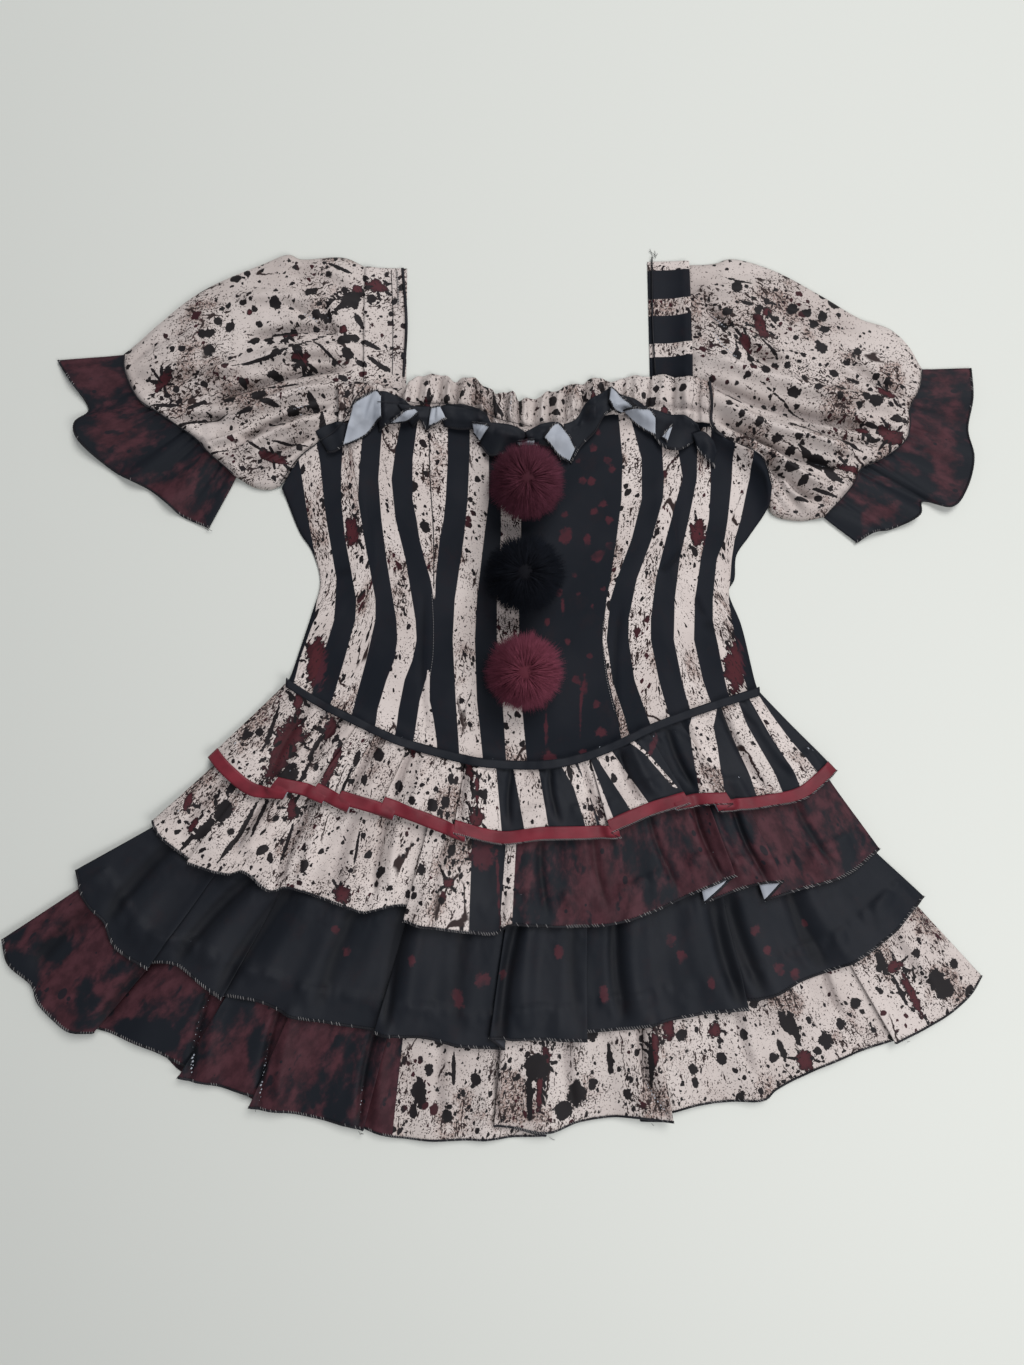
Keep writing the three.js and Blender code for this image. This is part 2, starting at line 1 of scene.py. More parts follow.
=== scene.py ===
# A jester costume, laid flat: the looks of each cut piece, built on the frame's solids.
# Tables are in millimetres and are turned into metres where they are read.
import bpy
import math
import numpy as np
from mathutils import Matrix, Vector


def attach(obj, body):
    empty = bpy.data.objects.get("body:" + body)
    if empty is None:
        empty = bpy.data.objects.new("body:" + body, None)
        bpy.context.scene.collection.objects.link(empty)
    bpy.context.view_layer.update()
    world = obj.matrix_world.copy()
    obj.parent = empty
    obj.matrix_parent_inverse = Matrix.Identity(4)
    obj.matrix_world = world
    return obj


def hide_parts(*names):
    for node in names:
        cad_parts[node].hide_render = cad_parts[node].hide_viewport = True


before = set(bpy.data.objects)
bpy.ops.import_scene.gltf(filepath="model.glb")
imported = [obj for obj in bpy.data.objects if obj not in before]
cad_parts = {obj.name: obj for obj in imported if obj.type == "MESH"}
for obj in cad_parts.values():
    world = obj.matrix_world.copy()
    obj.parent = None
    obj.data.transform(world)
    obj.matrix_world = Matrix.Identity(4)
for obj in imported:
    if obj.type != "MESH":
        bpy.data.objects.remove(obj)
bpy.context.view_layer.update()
mm = 0.001
clothWall = 0.5 * mm  # thickness of one layer
layerGap = 0.7 * mm  # air and nap between two layers
finePoints = 24  # steps of a soft line between two rows of its table
hillCount = 256  # random hills each way before soft noise repeats
print("frame loaded,", len(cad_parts), "solids")


# Lines, patches and soft noise

def softLine(points):
    # a smooth line through a table's points, asked for by its share of the length
    p = np.array(points, float) * mm
    ends = np.vstack([2 * p[0] - p[1], p, 2 * p[-1] - p[-2]])
    steps = np.linalg.norm(np.diff(ends[:, :2], axis=0), axis=1)
    t = np.concatenate([[0], np.cumsum(np.sqrt(np.maximum(steps, 1e-6)))])
    dense = [p[:1]]
    for k in range(1, len(p)):
        s = np.linspace(t[k], t[k + 1], finePoints)[1:, None]
        q, w = ends[k - 1:k + 3], t[k - 1:k + 3]
        blend = lambda a, b, i, j: ((w[j] - s) * a + (s - w[i]) * b) / (w[j] - w[i])
        a1, a2, a3 = blend(q[0], q[1], 0, 1), blend(q[1], q[2], 1, 2), blend(q[2], q[3], 2, 3)
        dense.append(blend(blend(a1, a2, 0, 2), blend(a2, a3, 1, 3), 1, 2))
    dense = np.vstack(dense)
    run = np.concatenate([[0], np.cumsum(np.linalg.norm(np.diff(dense[:, :2], axis=0), axis=1))])

    def at(shares):
        shares = np.clip(shares, 0, 1) * run[-1]
        return np.stack([np.interp(shares, run, dense[:, k]) for k in range(p.shape[1])], axis=-1)

    at.length = run[-1]
    return at


def patch(top, bottom, left, right, across, down):
    # a sheet between four lines: top and bottom run across, left and right run down
    u, v = np.meshgrid(across, down)
    u, v = u[..., None], v[..., None]
    sheet = (1 - v) * top(across)[None] + v * bottom(across)[None]
    sheet = sheet + (1 - u) * left(down)[:, None] + u * right(down)[:, None]
    corners = (1 - u) * (1 - v) * top(0.0) + u * (1 - v) * top(1.0)
    corners = corners + (1 - u) * v * bottom(0.0) + u * v * bottom(1.0)
    return sheet - corners


def softNoise(x, y, size, seed):
    # smooth random hills between -1 and 1, a hill every size metres
    rng = np.random.default_rng(seed)
    knots = rng.uniform(-1, 1, (hillCount, hillCount))
    i, j = np.asarray(x) / size, np.asarray(y) / size
    a, b = np.floor(i).astype(int), np.floor(j).astype(int)
    s, t = i - a, j - b
    s, t = s * s * (3 - 2 * s), t * t * (3 - 2 * t)
    at = lambda di, dj: knots[(a + di) % hillCount, (b + dj) % hillCount]
    return (at(0, 0) * (1 - s) + at(1, 0) * s) * (1 - t) + (at(0, 1) * (1 - s) + at(1, 1) * s) * t


def ease(x):
    x = np.clip(x, 0, 1)
    return x * x * (3 - 2 * x)


def creaseRise(x, y, table, narrow=1.0):
    # ridges and troughs at listed places: x and y of both ends, half width, height
    rise = np.zeros_like(x)
    for x0, y0, x1, y1, half, height in np.array(table, float) * mm:
        dx, dy = x1 - x0, y1 - y0
        long = math.hypot(dx, dy)
        along = ((x - x0) * dx + (y - y0) * dy) / long ** 2
        bow = 0.04 * long * np.sin(np.pi * np.clip(along, 0, 1))
        away = ((x - x0) * dy - (y - y0) * dx) / long - bow
        taper = ease(along / 0.25 + 0.5) * ease((1 - along) / 0.35 + 0.3)
        rise += height * np.exp(-(away / half / narrow) ** 2) * taper
    return rise


# The pile of cloth so far, as a map of heights that each new piece is laid on

class Pile:
    cell = 1 * mm

    def __init__(self, low, high):
        self.low = np.array(low, float)
        self.tops = np.zeros([int((b - a) / self.cell) for a, b in zip(low, high)])

    def spots(self, x, y):
        i = (np.asarray(x) - self.low[0]) / self.cell
        j = (np.asarray(y) - self.low[1]) / self.cell
        return np.clip(i, 0, self.tops.shape[0] - 1.001), np.clip(j, 0, self.tops.shape[1] - 1.001)

    def cover(self, points):
        span = max(np.abs(np.diff(points[..., :2], axis=a)).max() for a in (0, 1))
        finer = min(24, int(np.ceil(span / (0.8 * self.cell))))
        for axis in (0, 1):
            count = points.shape[axis]
            at = np.linspace(0, count - 1, (count - 1) * finer + 1)
            below = np.minimum(at.astype(int), count - 2)
            share = (at - below).reshape([-1 if a == axis else 1 for a in (0, 1, 2)])
            points = np.take(points, below, axis) * (1 - share) + np.take(points, below + 1, axis) * share
        i, j = self.spots(points[..., 0], points[..., 1])
        np.maximum.at(self.tops, (i.astype(int).ravel(), j.astype(int).ravel()), points[..., 2].ravel())

    def blurred(self, field, reach):
        for axis in (0, 1):
            for _ in (0, 1):
                pad = [(reach + 1, reach) if a == axis else (0, 0) for a in (0, 1)]
                total = np.cumsum(np.pad(field, pad, mode="edge"), axis=axis)
                count = field.shape[axis]
                high = np.take(total, range(2 * reach + 1, 2 * reach + 1 + count), axis)
                field = (high - np.take(total, range(count), axis)) / (2 * reach + 1)
        return field

    def support(self, soft):
        # what a piece rests on: bridges narrow hollows and slopes down past an edge
        grown = self.tops
        for axis in (0, 1, 0, 1):
            grown = np.maximum(grown, np.maximum(np.roll(grown, 1, axis), np.roll(grown, -1, axis)))
        base = grown
        for _ in range(3):
            base = np.maximum(grown, self.blurred(base, soft))
        return np.maximum(grown, self.blurred(base, 2))

    def under(self, x, y, soft=4):
        base = self.support(soft)
        i, j = self.spots(x, y)
        a, b = i.astype(int), j.astype(int)
        s, t = i - a, j - b
        left = base[a, b] * (1 - t) + base[a, b + 1] * t
        right = base[a + 1, b] * (1 - t) + base[a + 1, b + 1] * t
        return left * (1 - s) + right * s


pile = Pile((-0.51, -0.44), (0.45, 0.44))


# Meshes from grids

def setField(mesh, name, values):
    mesh.attributes.new(name, "FLOAT", "POINT").data.foreach_set("value", values.ravel().astype(np.float32))


def meshFrom(name, vertices, quads, uv=None, fields=None, slots=None, flat=None, finishes=()):
    mesh = bpy.data.meshes.new(name)
    mesh.vertices.add(len(vertices))
    mesh.vertices.foreach_set("co", np.asarray(vertices, np.float32).ravel())
    sides = quads.shape[1]
    mesh.loops.add(quads.size)
    mesh.loops.foreach_set("vertex_index", quads.ravel().astype(np.int32))
    mesh.polygons.add(len(quads))
    mesh.polygons.foreach_set("loop_start", np.arange(0, quads.size, sides, dtype=np.int32))
    if slots is not None:
        mesh.polygons.foreach_set("material_index", slots.astype(np.int32))
    smooth = np.ones(len(quads), bool) if flat is None else ~flat
    mesh.polygons.foreach_set("use_smooth", smooth)
    if uv is not None:
        layer = mesh.uv_layers.new(name="cloth")
        layer.data.foreach_set("uv", uv[quads.ravel()].astype(np.float32).ravel())
    for field, values in (fields or {}).items():
        setField(mesh, field, values)
    for finish in finishes:
        mesh.materials.append(finish)
    mesh.update(calc_edges=True)
    mesh.validate()
    piece = bpy.data.objects.new(name, mesh)
    bpy.context.scene.collection.objects.link(piece)
    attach(piece, "root")
    return piece


def normalsOf(grid):
    normal = np.cross(np.gradient(grid, axis=0), np.gradient(grid, axis=1))
    return normal / np.maximum(np.linalg.norm(normal, axis=-1, keepdims=True), 1e-12)


def gridQuads(rows, columns):
    k = np.arange(rows * columns).reshape(rows, columns)
    return np.stack([k[:-1, :-1], k[1:, :-1], k[1:, 1:], k[:-1, 1:]], axis=-1).reshape(-1, 4)


def shellFaces(rows, columns):
    # the faces of a closed wall over a grid: face side, reverse side and rim
    top = gridQuads(rows, columns)
    count = rows * columns
    k = np.arange(count).reshape(rows, columns)
    ring = np.concatenate([k[:-1, 0], k[-1, :-1], k[:0:-1, -1], k[0, :0:-1]])
    after = np.roll(ring, -1)
    return top, top[:, ::-1] + count, np.stack([ring, ring + count, after + count, after], axis=-1)


def clothShell(name, middle, cloth, fields, finishes):
    # a closed thin wall round a grid of middle points; the face side looks up
    rows, columns = middle.shape[:2]
    normal = normalsOf(middle)
    if np.mean(normal[..., 2]) < 0:
        middle, cloth, normal = middle[:, ::-1], cloth[:, ::-1], -normal[:, ::-1]
        fields = {field: values[:, ::-1] for field, values in fields.items()}
    face, reverse = middle + normal * clothWall / 2, middle - normal * clothWall / 2
    top, low, rim = shellFaces(rows, columns)
    quads = np.concatenate([top, low, rim])
    slots = np.concatenate([np.zeros(len(top)), np.ones(len(low)), np.zeros(len(rim))])
    vertices = np.concatenate([face.reshape(-1, 3), reverse.reshape(-1, 3)])
    both = lambda values: np.concatenate([values.reshape(rows * columns, -1)] * 2)
    return meshFrom(name, vertices, quads, both(cloth), {f: both(v) for f, v in fields.items()}, slots,
                    np.arange(len(quads)) >= 2 * len(top), finishes)


def tubeAlong(path, wide, tall, up):
    # a flat tube of six sides that follows a path, with ends closed
    ahead = np.gradient(path, axis=0)
    ahead /= np.maximum(np.linalg.norm(ahead, axis=1, keepdims=True), 1e-12)
    aside = np.cross(up, ahead)
    aside /= np.maximum(np.linalg.norm(aside, axis=1, keepdims=True), 1e-12)
    over = np.cross(ahead, aside)
    turn = np.linspace(0, 2 * np.pi, 6, endpoint=False)
    rings = path[:, None] + (wide / 2 * np.cos(turn)[None, :, None] * aside[:, None]
                             + tall / 2 * np.sin(turn)[None, :, None] * over[:, None])
    k = np.arange(len(path) * 6).reshape(len(path), 6)
    after = np.roll(k, -1, axis=1)
    sides = np.stack([k[:-1], after[:-1], after[1:], k[1:]], axis=-1).reshape(-1, 4)
    first, last = k[0], k[-1]
    caps = np.array([first[[3, 2, 1, 0]], first[[5, 4, 3, 0]], last[[0, 1, 2, 3]], last[[0, 3, 4, 5]]])
    return rings.reshape(-1, 3), np.concatenate([sides, caps])


def threadBars(starts, ends, up, wide):
    # a short flat bar of thread for each pair of points, a little arched
    ahead = ends - starts
    ahead /= np.maximum(np.linalg.norm(ahead, axis=1, keepdims=True), 1e-12)
    aside = np.cross(up, ahead)
    aside /= np.maximum(np.linalg.norm(aside, axis=1, keepdims=True), 1e-12)
    lift = up * wide * 0.7
    corners = []
    for spot, raised in ((starts, 0.0), ((starts + ends) / 2, 1.0), (ends, 0.0)):
        middle = spot + lift * raised
        corners += [middle - aside * wide / 2, middle + aside * wide / 2, middle + lift]
    points = np.stack(corners, axis=1).reshape(-1, 3)
    faces = np.array([(0, 1, 4, 3), (1, 2, 5, 4), (2, 0, 3, 5), (3, 4, 7, 6), (4, 5, 8, 7), (5, 3, 6, 8),
                      (2, 1, 0, 0), (6, 7, 8, 8)])
    index = (faces[None] + 9 * np.arange(len(starts))[:, None, None]).reshape(-1, 4)
    return points, index


def sewn(name, parts, slotName):
    # joins tubes and bars of thread into one piece: points, faces, finish number
    points, faces, slots, start = [], [], [], 0
    for spots, index, finish in parts:
        points.append(spots)
        faces.append(index + start)
        slots.append(np.full(len(index), finish))
        start += len(spots)
    piece = bpy.data.meshes.new(name)
    polygons = [tuple(dict.fromkeys(face)) for face in np.concatenate(faces).tolist()]
    piece.from_pydata(np.concatenate(points).tolist(), [], polygons)
    piece.polygons.foreach_set("material_index", np.concatenate(slots).astype(np.int32))
    piece.polygons.foreach_set("use_smooth", np.ones(len(polygons), bool))
    layer = piece.uv_layers.new(name="cloth")
    flatSpots = np.concatenate(points)[:, :2]
    loops = np.zeros(len(piece.loops), np.int32)
    piece.loops.foreach_get("vertex_index", loops)
    layer.data.foreach_set("uv", flatSpots[loops].astype(np.float32).ravel())
    for finish in ("thread", "paleThread", "ribbon"):
        piece.materials.append(finishes[finish])
    item = bpy.data.objects.new(name, piece)
    bpy.context.scene.collection.objects.link(item)
    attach(item, "root")
    return item


def walk(path, pitch):
    # stations along a path, with the share of the way of each
    run = np.concatenate([[0], np.cumsum(np.linalg.norm(np.diff(path, axis=0), axis=1))])
    at = np.arange(pitch / 2, run[-1], pitch)
    return at, lambda shift: np.stack([np.interp(at + shift, run, path[:, k]) for k in range(3)], axis=-1)


def overlock(name, middle, slotName, depth, pitch, pale, seed):
    # an overlocked edge along the last row of a grid: a bound edge and slanted stitches over it;
    # pale is the share of stitches that are worn pale
    edge, near = middle[-1], middle[-2]
    inward = near - edge
    inward /= np.linalg.norm(inward, axis=1, keepdims=True)
    up = normalsOf(middle)[-1]
    up = np.where(up[:, 2:].mean() < 0, -up, up)
    rng = np.random.default_rng(seed)
    keep = np.concatenate([[True], np.linalg.norm(np.diff(edge, axis=0), axis=1) > 0.2 * mm])
    edge, inward, up = edge[keep], inward[keep], up[keep]
    tube, tubeFaces = tubeAlong(edge + inward * depth * 0.42, depth, clothWall + 0.9 * mm, up)
    at, spots = walk(edge, pitch)
    run = np.concatenate([[0], np.cumsum(np.linalg.norm(np.diff(edge, axis=0), axis=1))])
    share = lambda values: np.stack([np.interp(at, run, values[:, k]) for k in range(3)], axis=-1)
    inside, above = share(inward), share(up)
    lean = rng.uniform(0.6, 1.1, len(at))[:, None] * pitch
    ahead = (spots(0.5 * mm) - spots(-0.5 * mm)) / mm
    lift = (clothWall / 2 + 0.45 * mm) * above
    starts = spots(0) + inside * (depth + 0.5 * mm) + lift * 0.8
    ends = spots(0) + ahead * lean - inside * 0.2 * mm + lift * 0.4
    points, index = threadBars(starts, ends, above, 0.42 * mm)
    patchy = softNoise(at, at * 0, 30 * mm, seed) * 0.5 + rng.uniform(0, 1, len(at))
    facesEach = len(index) // len(at)
    tone = np.repeat((patchy < pale).astype(int), facesEach)
    stitches = [(points, index[tone == which], which) for which in (0, 1)]
    return sewn(name, [(tube, tubeFaces, 0)] + stitches, slotName)


print("tools ready")


# Finishes

def nodeKit(name, roughness):
    # a new finish with its shader, and short ways to add nodes to it
    finish = bpy.data.materials.new(name)
    finish.use_nodes = True
    tree = finish.node_tree
    shader = tree.nodes["Principled BSDF"]
    shader.inputs["Roughness"].default_value = roughness

    def add(kind, **values):
        node = tree.nodes.new(kind)
        for key, value in values.items():
            if hasattr(node, key):
                setattr(node, key, value)
            else:
                node.inputs[key.replace("_", " ")].default_value = value
        return node

    def math_(operation, a, b=0.0, c=None, clamp=False):
        node = add("ShaderNodeMath", operation=operation, use_clamp=clamp)
        for k, value in enumerate((a, b) if c is None else (a, b, c)):
            if isinstance(value, (int, float)):
                node.inputs[k].default_value = value
            else:
                tree.links.new(value, node.inputs[k])
        return node.outputs[0]

    def step(value, low, high):
        node = add("ShaderNodeMapRange", interpolation_type="SMOOTHSTEP")
        tree.links.new(value, node.inputs["Value"])
        node.inputs["From Min"].default_value = low
        node.inputs["From Max"].default_value = high
        return node.outputs["Result"]

    def mix(share, a, b):
        node = add("ShaderNodeMix", data_type="RGBA")
        for socket, value in ((node.inputs["Factor"], share), (node.inputs["A"], a), (node.inputs["B"], b)):
            socket = [s for s in node.inputs if s.name == socket.name and s.enabled][0]
            if isinstance(value, tuple):
                socket.default_value = (*value, 1)
            elif isinstance(value, (int, float)):
                socket.default_value = value
            else:
                tree.links.new(value, socket)
        return [s for s in node.outputs if s.enabled][0]

    def field(attribute):
        return add("ShaderNodeAttribute", attribute_name=attribute).outputs["Fac"]

    def noise(vector, scale, detail=2.0, rough=0.5, stretch=None, lean=0.0):
        node = add("ShaderNodeTexNoise", Scale=scale, Detail=detail, Roughness=rough)
        tree.links.new(spread(vector, stretch, lean) if stretch else vector, node.inputs["Vector"])
        return node.outputs["Fac"]

    def spread(vector, stretch, lean=0.0, shift=0.0):
        node = add("ShaderNodeMapping")
        node.inputs["Scale"].default_value = stretch
        node.inputs["Rotation"].default_value = (0, 0, lean)
        node.inputs["Location"].default_value = (shift, shift, 0)
        tree.links.new(vector, node.inputs["Vector"])
        return node.outputs["Vector"]

    def cells(vector, scale, feature="F1", randomness=1.0):
        node = add("ShaderNodeTexVoronoi", feature=feature, Scale=scale, Randomness=randomness)
        tree.links.new(vector, node.inputs["Vector"])
        return node

    kit = dict(finish=finish, tree=tree, shader=shader, add=add, math=math_, step=step, mix=mix, field=field,
               noise=noise, spread=spread, cells=cells)
    kit["cloth"] = add("ShaderNodeTexCoord").outputs["UV"]
    return kit


def weaveBump(kit, strength, extra=None):
    # threads 0.35 mm apart both ways, and small slubs; extra is a height to add
    wave = kit["add"]("ShaderNodeTexWave", Scale=450.0, Distortion=0.6, Detail=1.0)
    wave.bands_direction = "X"
    other = kit["add"]("ShaderNodeTexWave", Scale=450.0, Distortion=0.6, Detail=1.0)
    other.bands_direction = "Y"
    for node in (wave, other):
        kit["tree"].links.new(kit["cloth"], node.inputs["Vector"])
    height = kit["math"]("MULTIPLY", kit["math"]("ADD", wave.outputs["Fac"], other.outputs["Fac"]), 0.1)
    crumple = kit["noise"](kit["cloth"], 60.0, 4.0, 0.55)
    height = kit["math"]("ADD", height, kit["math"]("MULTIPLY", crumple, 0.8))
    if extra is not None:
        height = kit["math"]("ADD", height, extra)
    bump = kit["add"]("ShaderNodeBump", Strength=strength, Distance=0.0006)
    kit["tree"].links.new(height, bump.inputs["Height"])
    kit["tree"].links.new(bump.outputs["Normal"], kit["shader"].inputs["Normal"])


def colourOf(kit, colour):
    kit["tree"].links.new(colour, kit["shader"].inputs["Base Color"])


inks = {
    "cream": (0.575, 0.51, 0.48), "creamShade": (0.48, 0.415, 0.388), "black": (0.011, 0.009, 0.010),
    "brown": (0.026, 0.016, 0.015), "rust": (0.17, 0.085, 0.062), "darkRed": (0.036, 0.010, 0.013),
    "dryRed": (0.062, 0.015, 0.019), "charcoal": (0.0062, 0.0080, 0.0120),
    "charcoalLight": (0.0106, 0.0120, 0.0163), "mottle": (0.033, 0.0105, 0.0145),
    "mottleLight": (0.060, 0.0200, 0.0260), "faintRed": (0.058, 0.015, 0.021),
    "mist": (0.0155, 0.0098, 0.0125),
}


def drops(kit, vector, scale, size, share, seed, stretch=(1, 0.8, 1)):
    # round drops of mixed sizes: one in some of the cells of a web
    math_ = kit["math"]
    web = kit["cells"](kit["spread"](vector, stretch, 0.0, seed), scale)
    parts = kit["add"]("ShaderNodeSeparateColor")
    kit["tree"].links.new(web.outputs["Color"], parts.inputs["Color"])
    chosen = math_("LESS_THAN", parts.outputs["Red"], share)
    reach = math_("MULTIPLY", math_("ADD", math_("MULTIPLY", parts.outputs["Green"], 0.75), 0.25), size)
    gap = math_("SUBTRACT", reach, web.outputs["Distance"])
    return math_("MULTIPLY", kit["step"](gap, -0.008, 0.012), chosen)


def splatter(kit, tone=1.0):
    # cream cloth printed with grime, brush streaks, spots and dried red blots
    cloth, math_, step, mix, noise = kit["cloth"], kit["math"], kit["step"], kit["mix"], kit["noise"]
    warp = kit["add"]("ShaderNodeTexNoise", Scale=170.0, Detail=3.0)
    kit["tree"].links.new(cloth, warp.inputs["Vector"])
    shifted = kit["add"]("ShaderNodeVectorMath", operation="MULTIPLY_ADD")
    kit["tree"].links.new(warp.outputs["Color"], shifted.inputs[0])
    shifted.inputs[1].default_value = (0.0055, 0.0055, 0)
    kit["tree"].links.new(cloth, shifted.inputs[2])
    warped = shifted.outputs[0]
    shade = noise(cloth, 12.0, 3.0)
    light, low = [tuple(tone * part for part in inks[ink]) for ink in ("cream", "creamShade")]
    base = mix(step(shade, 0.38, 0.72), light, low)
    base = mix(math_("MULTIPLY", step(noise(cloth, 900.0, 2.0, 0.7), 0.45, 0.75), 0.45), base, low)

    def speckle(vector, scale, detail, rest, packed, where, stretch=None, lean=0.0):
        # noise over a threshold that falls where the grime is thick
        value = noise(vector, scale, detail, 0.6, stretch, lean)
        least = math_("SUBTRACT", rest, math_("MULTIPLY", where, packed))
        return step(math_("SUBTRACT", value, least), 0.0, 0.018)

    thick = step(noise(cloth, 17.0, 3.0, 0.6), 0.40, 0.66)
    other = step(noise(kit["spread"](cloth, (1, 0.6, 1), 0.3, 4.0), 21.0, 3.0, 0.6), 0.42, 0.68)
    both = math_("MULTIPLY", thick, other)
    rust = math_("MULTIPLY", step(both, 0.10, 0.55), step(noise(cloth, 420.0, 3.0, 0.7), 0.34, 0.60))
    base = mix(math_("MULTIPLY", rust, 0.65), base, inks["rust"])
    marks = speckle(warped, 640.0, 1.5, 0.662, 0.12, thick)
    for more in (speckle(warped, 400.0, 2.0, 0.69, 0.135, other, (1, 0.7, 1)),
                 speckle(warped, 380.0, 2.5, 0.70, 0.145, thick, (1, 0.20, 1), 0.10),
                 speckle(warped, 600.0, 2.0, 0.69, 0.145, other, (1, 0.30, 1), -0.16)):
        marks = math_("MAXIMUM", marks, more)
    # thin trails that run down the cloth and join some of the spots
    ridge = math_("ABSOLUTE", math_("SUBTRACT", noise(warped, 26.0, 1.0, 0.5, (1, 0.28, 1), 0.08), 0.5))
    trail = math_("MULTIPLY", step(math_("SUBTRACT", 0.0075, ridge), -0.002, 0.002),
                  step(noise(cloth, 24.0, 2.0, 0.5, (1, 0.5, 1)), 0.56, 0.60))
    base = mix(math_("MAXIMUM", marks, trail), base, inks["brown"])
    blobs = speckle(warped, 105.0, 2.0, 0.725, 0.115, other, (1, 0.75, 1))
    # web scale, size of the drops, share of the cells, seed
    for row in ((32, 0.17, 0.50, 0.0), (58, 0.26, 0.50, 3.1), (118, 0.33, 0.48, 7.7),
                (36, 0.13, 0.34, 5.3, (1, 0.30, 1)), (210, 0.36, 0.46, 9.1)):
        blobs = math_("MAXIMUM", blobs, drops(kit, warped, *row))
    tint = mix(step(noise(cloth, 16.0, 1.0), 0.58, 0.64), inks["black"], inks["darkRed"])
    base = mix(blobs, base, tint)
    # dried red and black blots with ragged edges, where the cloth says so
    ragged = math_("MULTIPLY", math_("SUBTRACT", noise(warped, 165.0, 4.0, 0.65), 0.5), 2.1)
    redness = math_("ADD", kit["field"]("redBlot"), ragged)
    dried = mix(step(redness, 0.15, 0.60), inks["darkRed"], inks["dryRed"])
    dried = mix(step(noise(warped, 330.0, 2.0, 0.6), 0.60, 0.64), dried, inks["black"])
    base = mix(step(redness, 0.0, 0.05), base, inks["black"])
    base = mix(step(redness, 0.09, 0.16), base, dried)
    inked = math_("ADD", kit["field"]("inkBlot"), math_("MULTIPLY", ragged, 0.8))
    return mix(step(inked, 0.0, 0.05), base, inks["black"])


def shadedSleevePrint(kit):
    # painted shade: the same cream print, darkened to 0.91
    return splatter(kit, 0.91)


def mottled(kit, least=0.365):
    # charcoal cloth with a broad dull red print, soft at its edges; least says how little of it is red
    cloth, math_, step, mix, noise = kit["cloth"], kit["math"], kit["step"], kit["mix"], kit["noise"]
    broad = noise(cloth, 17.0, 4.0, 0.6, (1.0, 0.75, 1.0))
    wearAndShade = noise(cloth, 85.0, 4.0, 0.62, (1.0, 0.62, 1.0))
    area = math_("ADD", broad, math_("MULTIPLY", math_("SUBTRACT", wearAndShade, 0.5), 0.42))
    area = math_("ADD", area, math_("MULTIPLY", step(kit["field"]("redBlot"), -0.5, 0.6), 0.14))
    area = math_("SUBTRACT", area, math_("MULTIPLY", step(kit["field"]("inkBlot"), -0.4, 0.5), 0.17))
    red = mix(step(wearAndShade, 0.36, 0.68), inks["mottle"], inks["mottleLight"])
    base = mix(step(area, least, least + 0.19), inks["charcoal"], red)
    dark = math_("MAXIMUM", drops(kit, cloth, 52, 0.20, 0.5, 2.0, (1, 0.62, 1)),
                 math_("MAXIMUM", drops(kit, cloth, 95, 0.22, 0.5, 6.0, (1, 0.8, 1)),
                       step(noise(cloth, 60.0, 3.0, 0.6, (1.0, 0.5, 1.0)), 0.60, 0.68)))
    return mix(math_("MULTIPLY", dark, 0.85), base, inks["charcoal"])


def cuffPrint(kit):
    return mottled(kit, 0.455)


def charcoalInk(kit):
    # charcoal cloth, a little uneven, with faint red drops
    cloth, math_, step, mix, noise = kit["cloth"], kit["math"], kit["step"], kit["mix"], kit["noise"]
    base = mix(step(noise(cloth, 14.0, 3.0), 0.35, 0.7), inks["charcoal"], inks["charcoalLight"])
    mist = math_("MULTIPLY", step(noise(cloth, 40.0, 5.0, 0.7), 0.50, 0.78), 0.5)
    base = mix(mist, base, inks["mist"])
    wearAndShade = math_("MULTIPLY", math_("SUBTRACT", noise(cloth, 170.0, 4.0, 0.65), 0.5), 2.0)
    red = math_("ADD", kit["field"]("redBlot"), wearAndShade)
    spots = math_("MULTIPLY", step(red, -0.05, 0.40), step(noise(cloth, 60.0, 2.0), 0.20, 0.55))
    return mix(math_("MULTIPLY", spots, 0.9), base, inks["faintRed"])


def printedCloth(name, parts, gloss=0.16, roughness=0.62):
    # parts: which prints the cloth has, in the order cream, mottled, charcoal
    kit = nodeKit(name, roughness)
    colour = None
    for part in parts:
        here = {"cream": splatter, "sleeve": shadedSleevePrint, "mottled": mottled, "cuff": cuffPrint,
                "charcoal": charcoalInk}[part](kit)
        if colour is None:
            colour = here
        else:
            inside = kit["step"](kit["field"](part + "Zone"), -0.0003, 0.0003)
            colour = kit["mix"](inside, colour, here)
    # painted shade in the folds: the colour is darkened to about 0.42 where the foldShade field marks troughs
    # of creases, gathers and pleats
    wearAndShade = kit["add"]("ShaderNodeVectorMath", operation="MULTIPLY")
    kit["tree"].links.new(colour, wearAndShade.inputs[0])
    wearAndShade.inputs[1].default_value = (0.42, 0.40, 0.41)
    # folds: how much of the painted shade shows
    folds = kit["math"]("MULTIPLY", kit["step"](kit["field"]("foldShade"), 0.05, 1.0), 0.62)
    colourOf(kit, kit["mix"](folds, colour, wearAndShade.outputs[0]))
    weaveBump(kit, 0.35)
    kit["shader"].inputs["Sheen Weight"].default_value = 0.02
    kit["shader"].inputs["Sheen Roughness"].default_value = 0.4
    kit["shader"].inputs["Specular IOR Level"].default_value = gloss
    return kit["finish"]


def plainCloth(name, dark, light, roughness, bump=0.3, sheen=0.02, gloss=0.16):
    kit = nodeKit(name, roughness)
    tone = kit["noise"](kit["cloth"], 45.0, 3.0)
    colourOf(kit, kit["mix"](kit["step"](tone, 0.3, 0.75), dark, light))
    weaveBump(kit, bump)
    kit["shader"].inputs["Specular IOR Level"].default_value = gloss
    kit["shader"].inputs["Sheen Weight"].default_value = sheen
    kit["shader"].inputs["Sheen Roughness"].default_value = 0.5
    return kit["finish"]


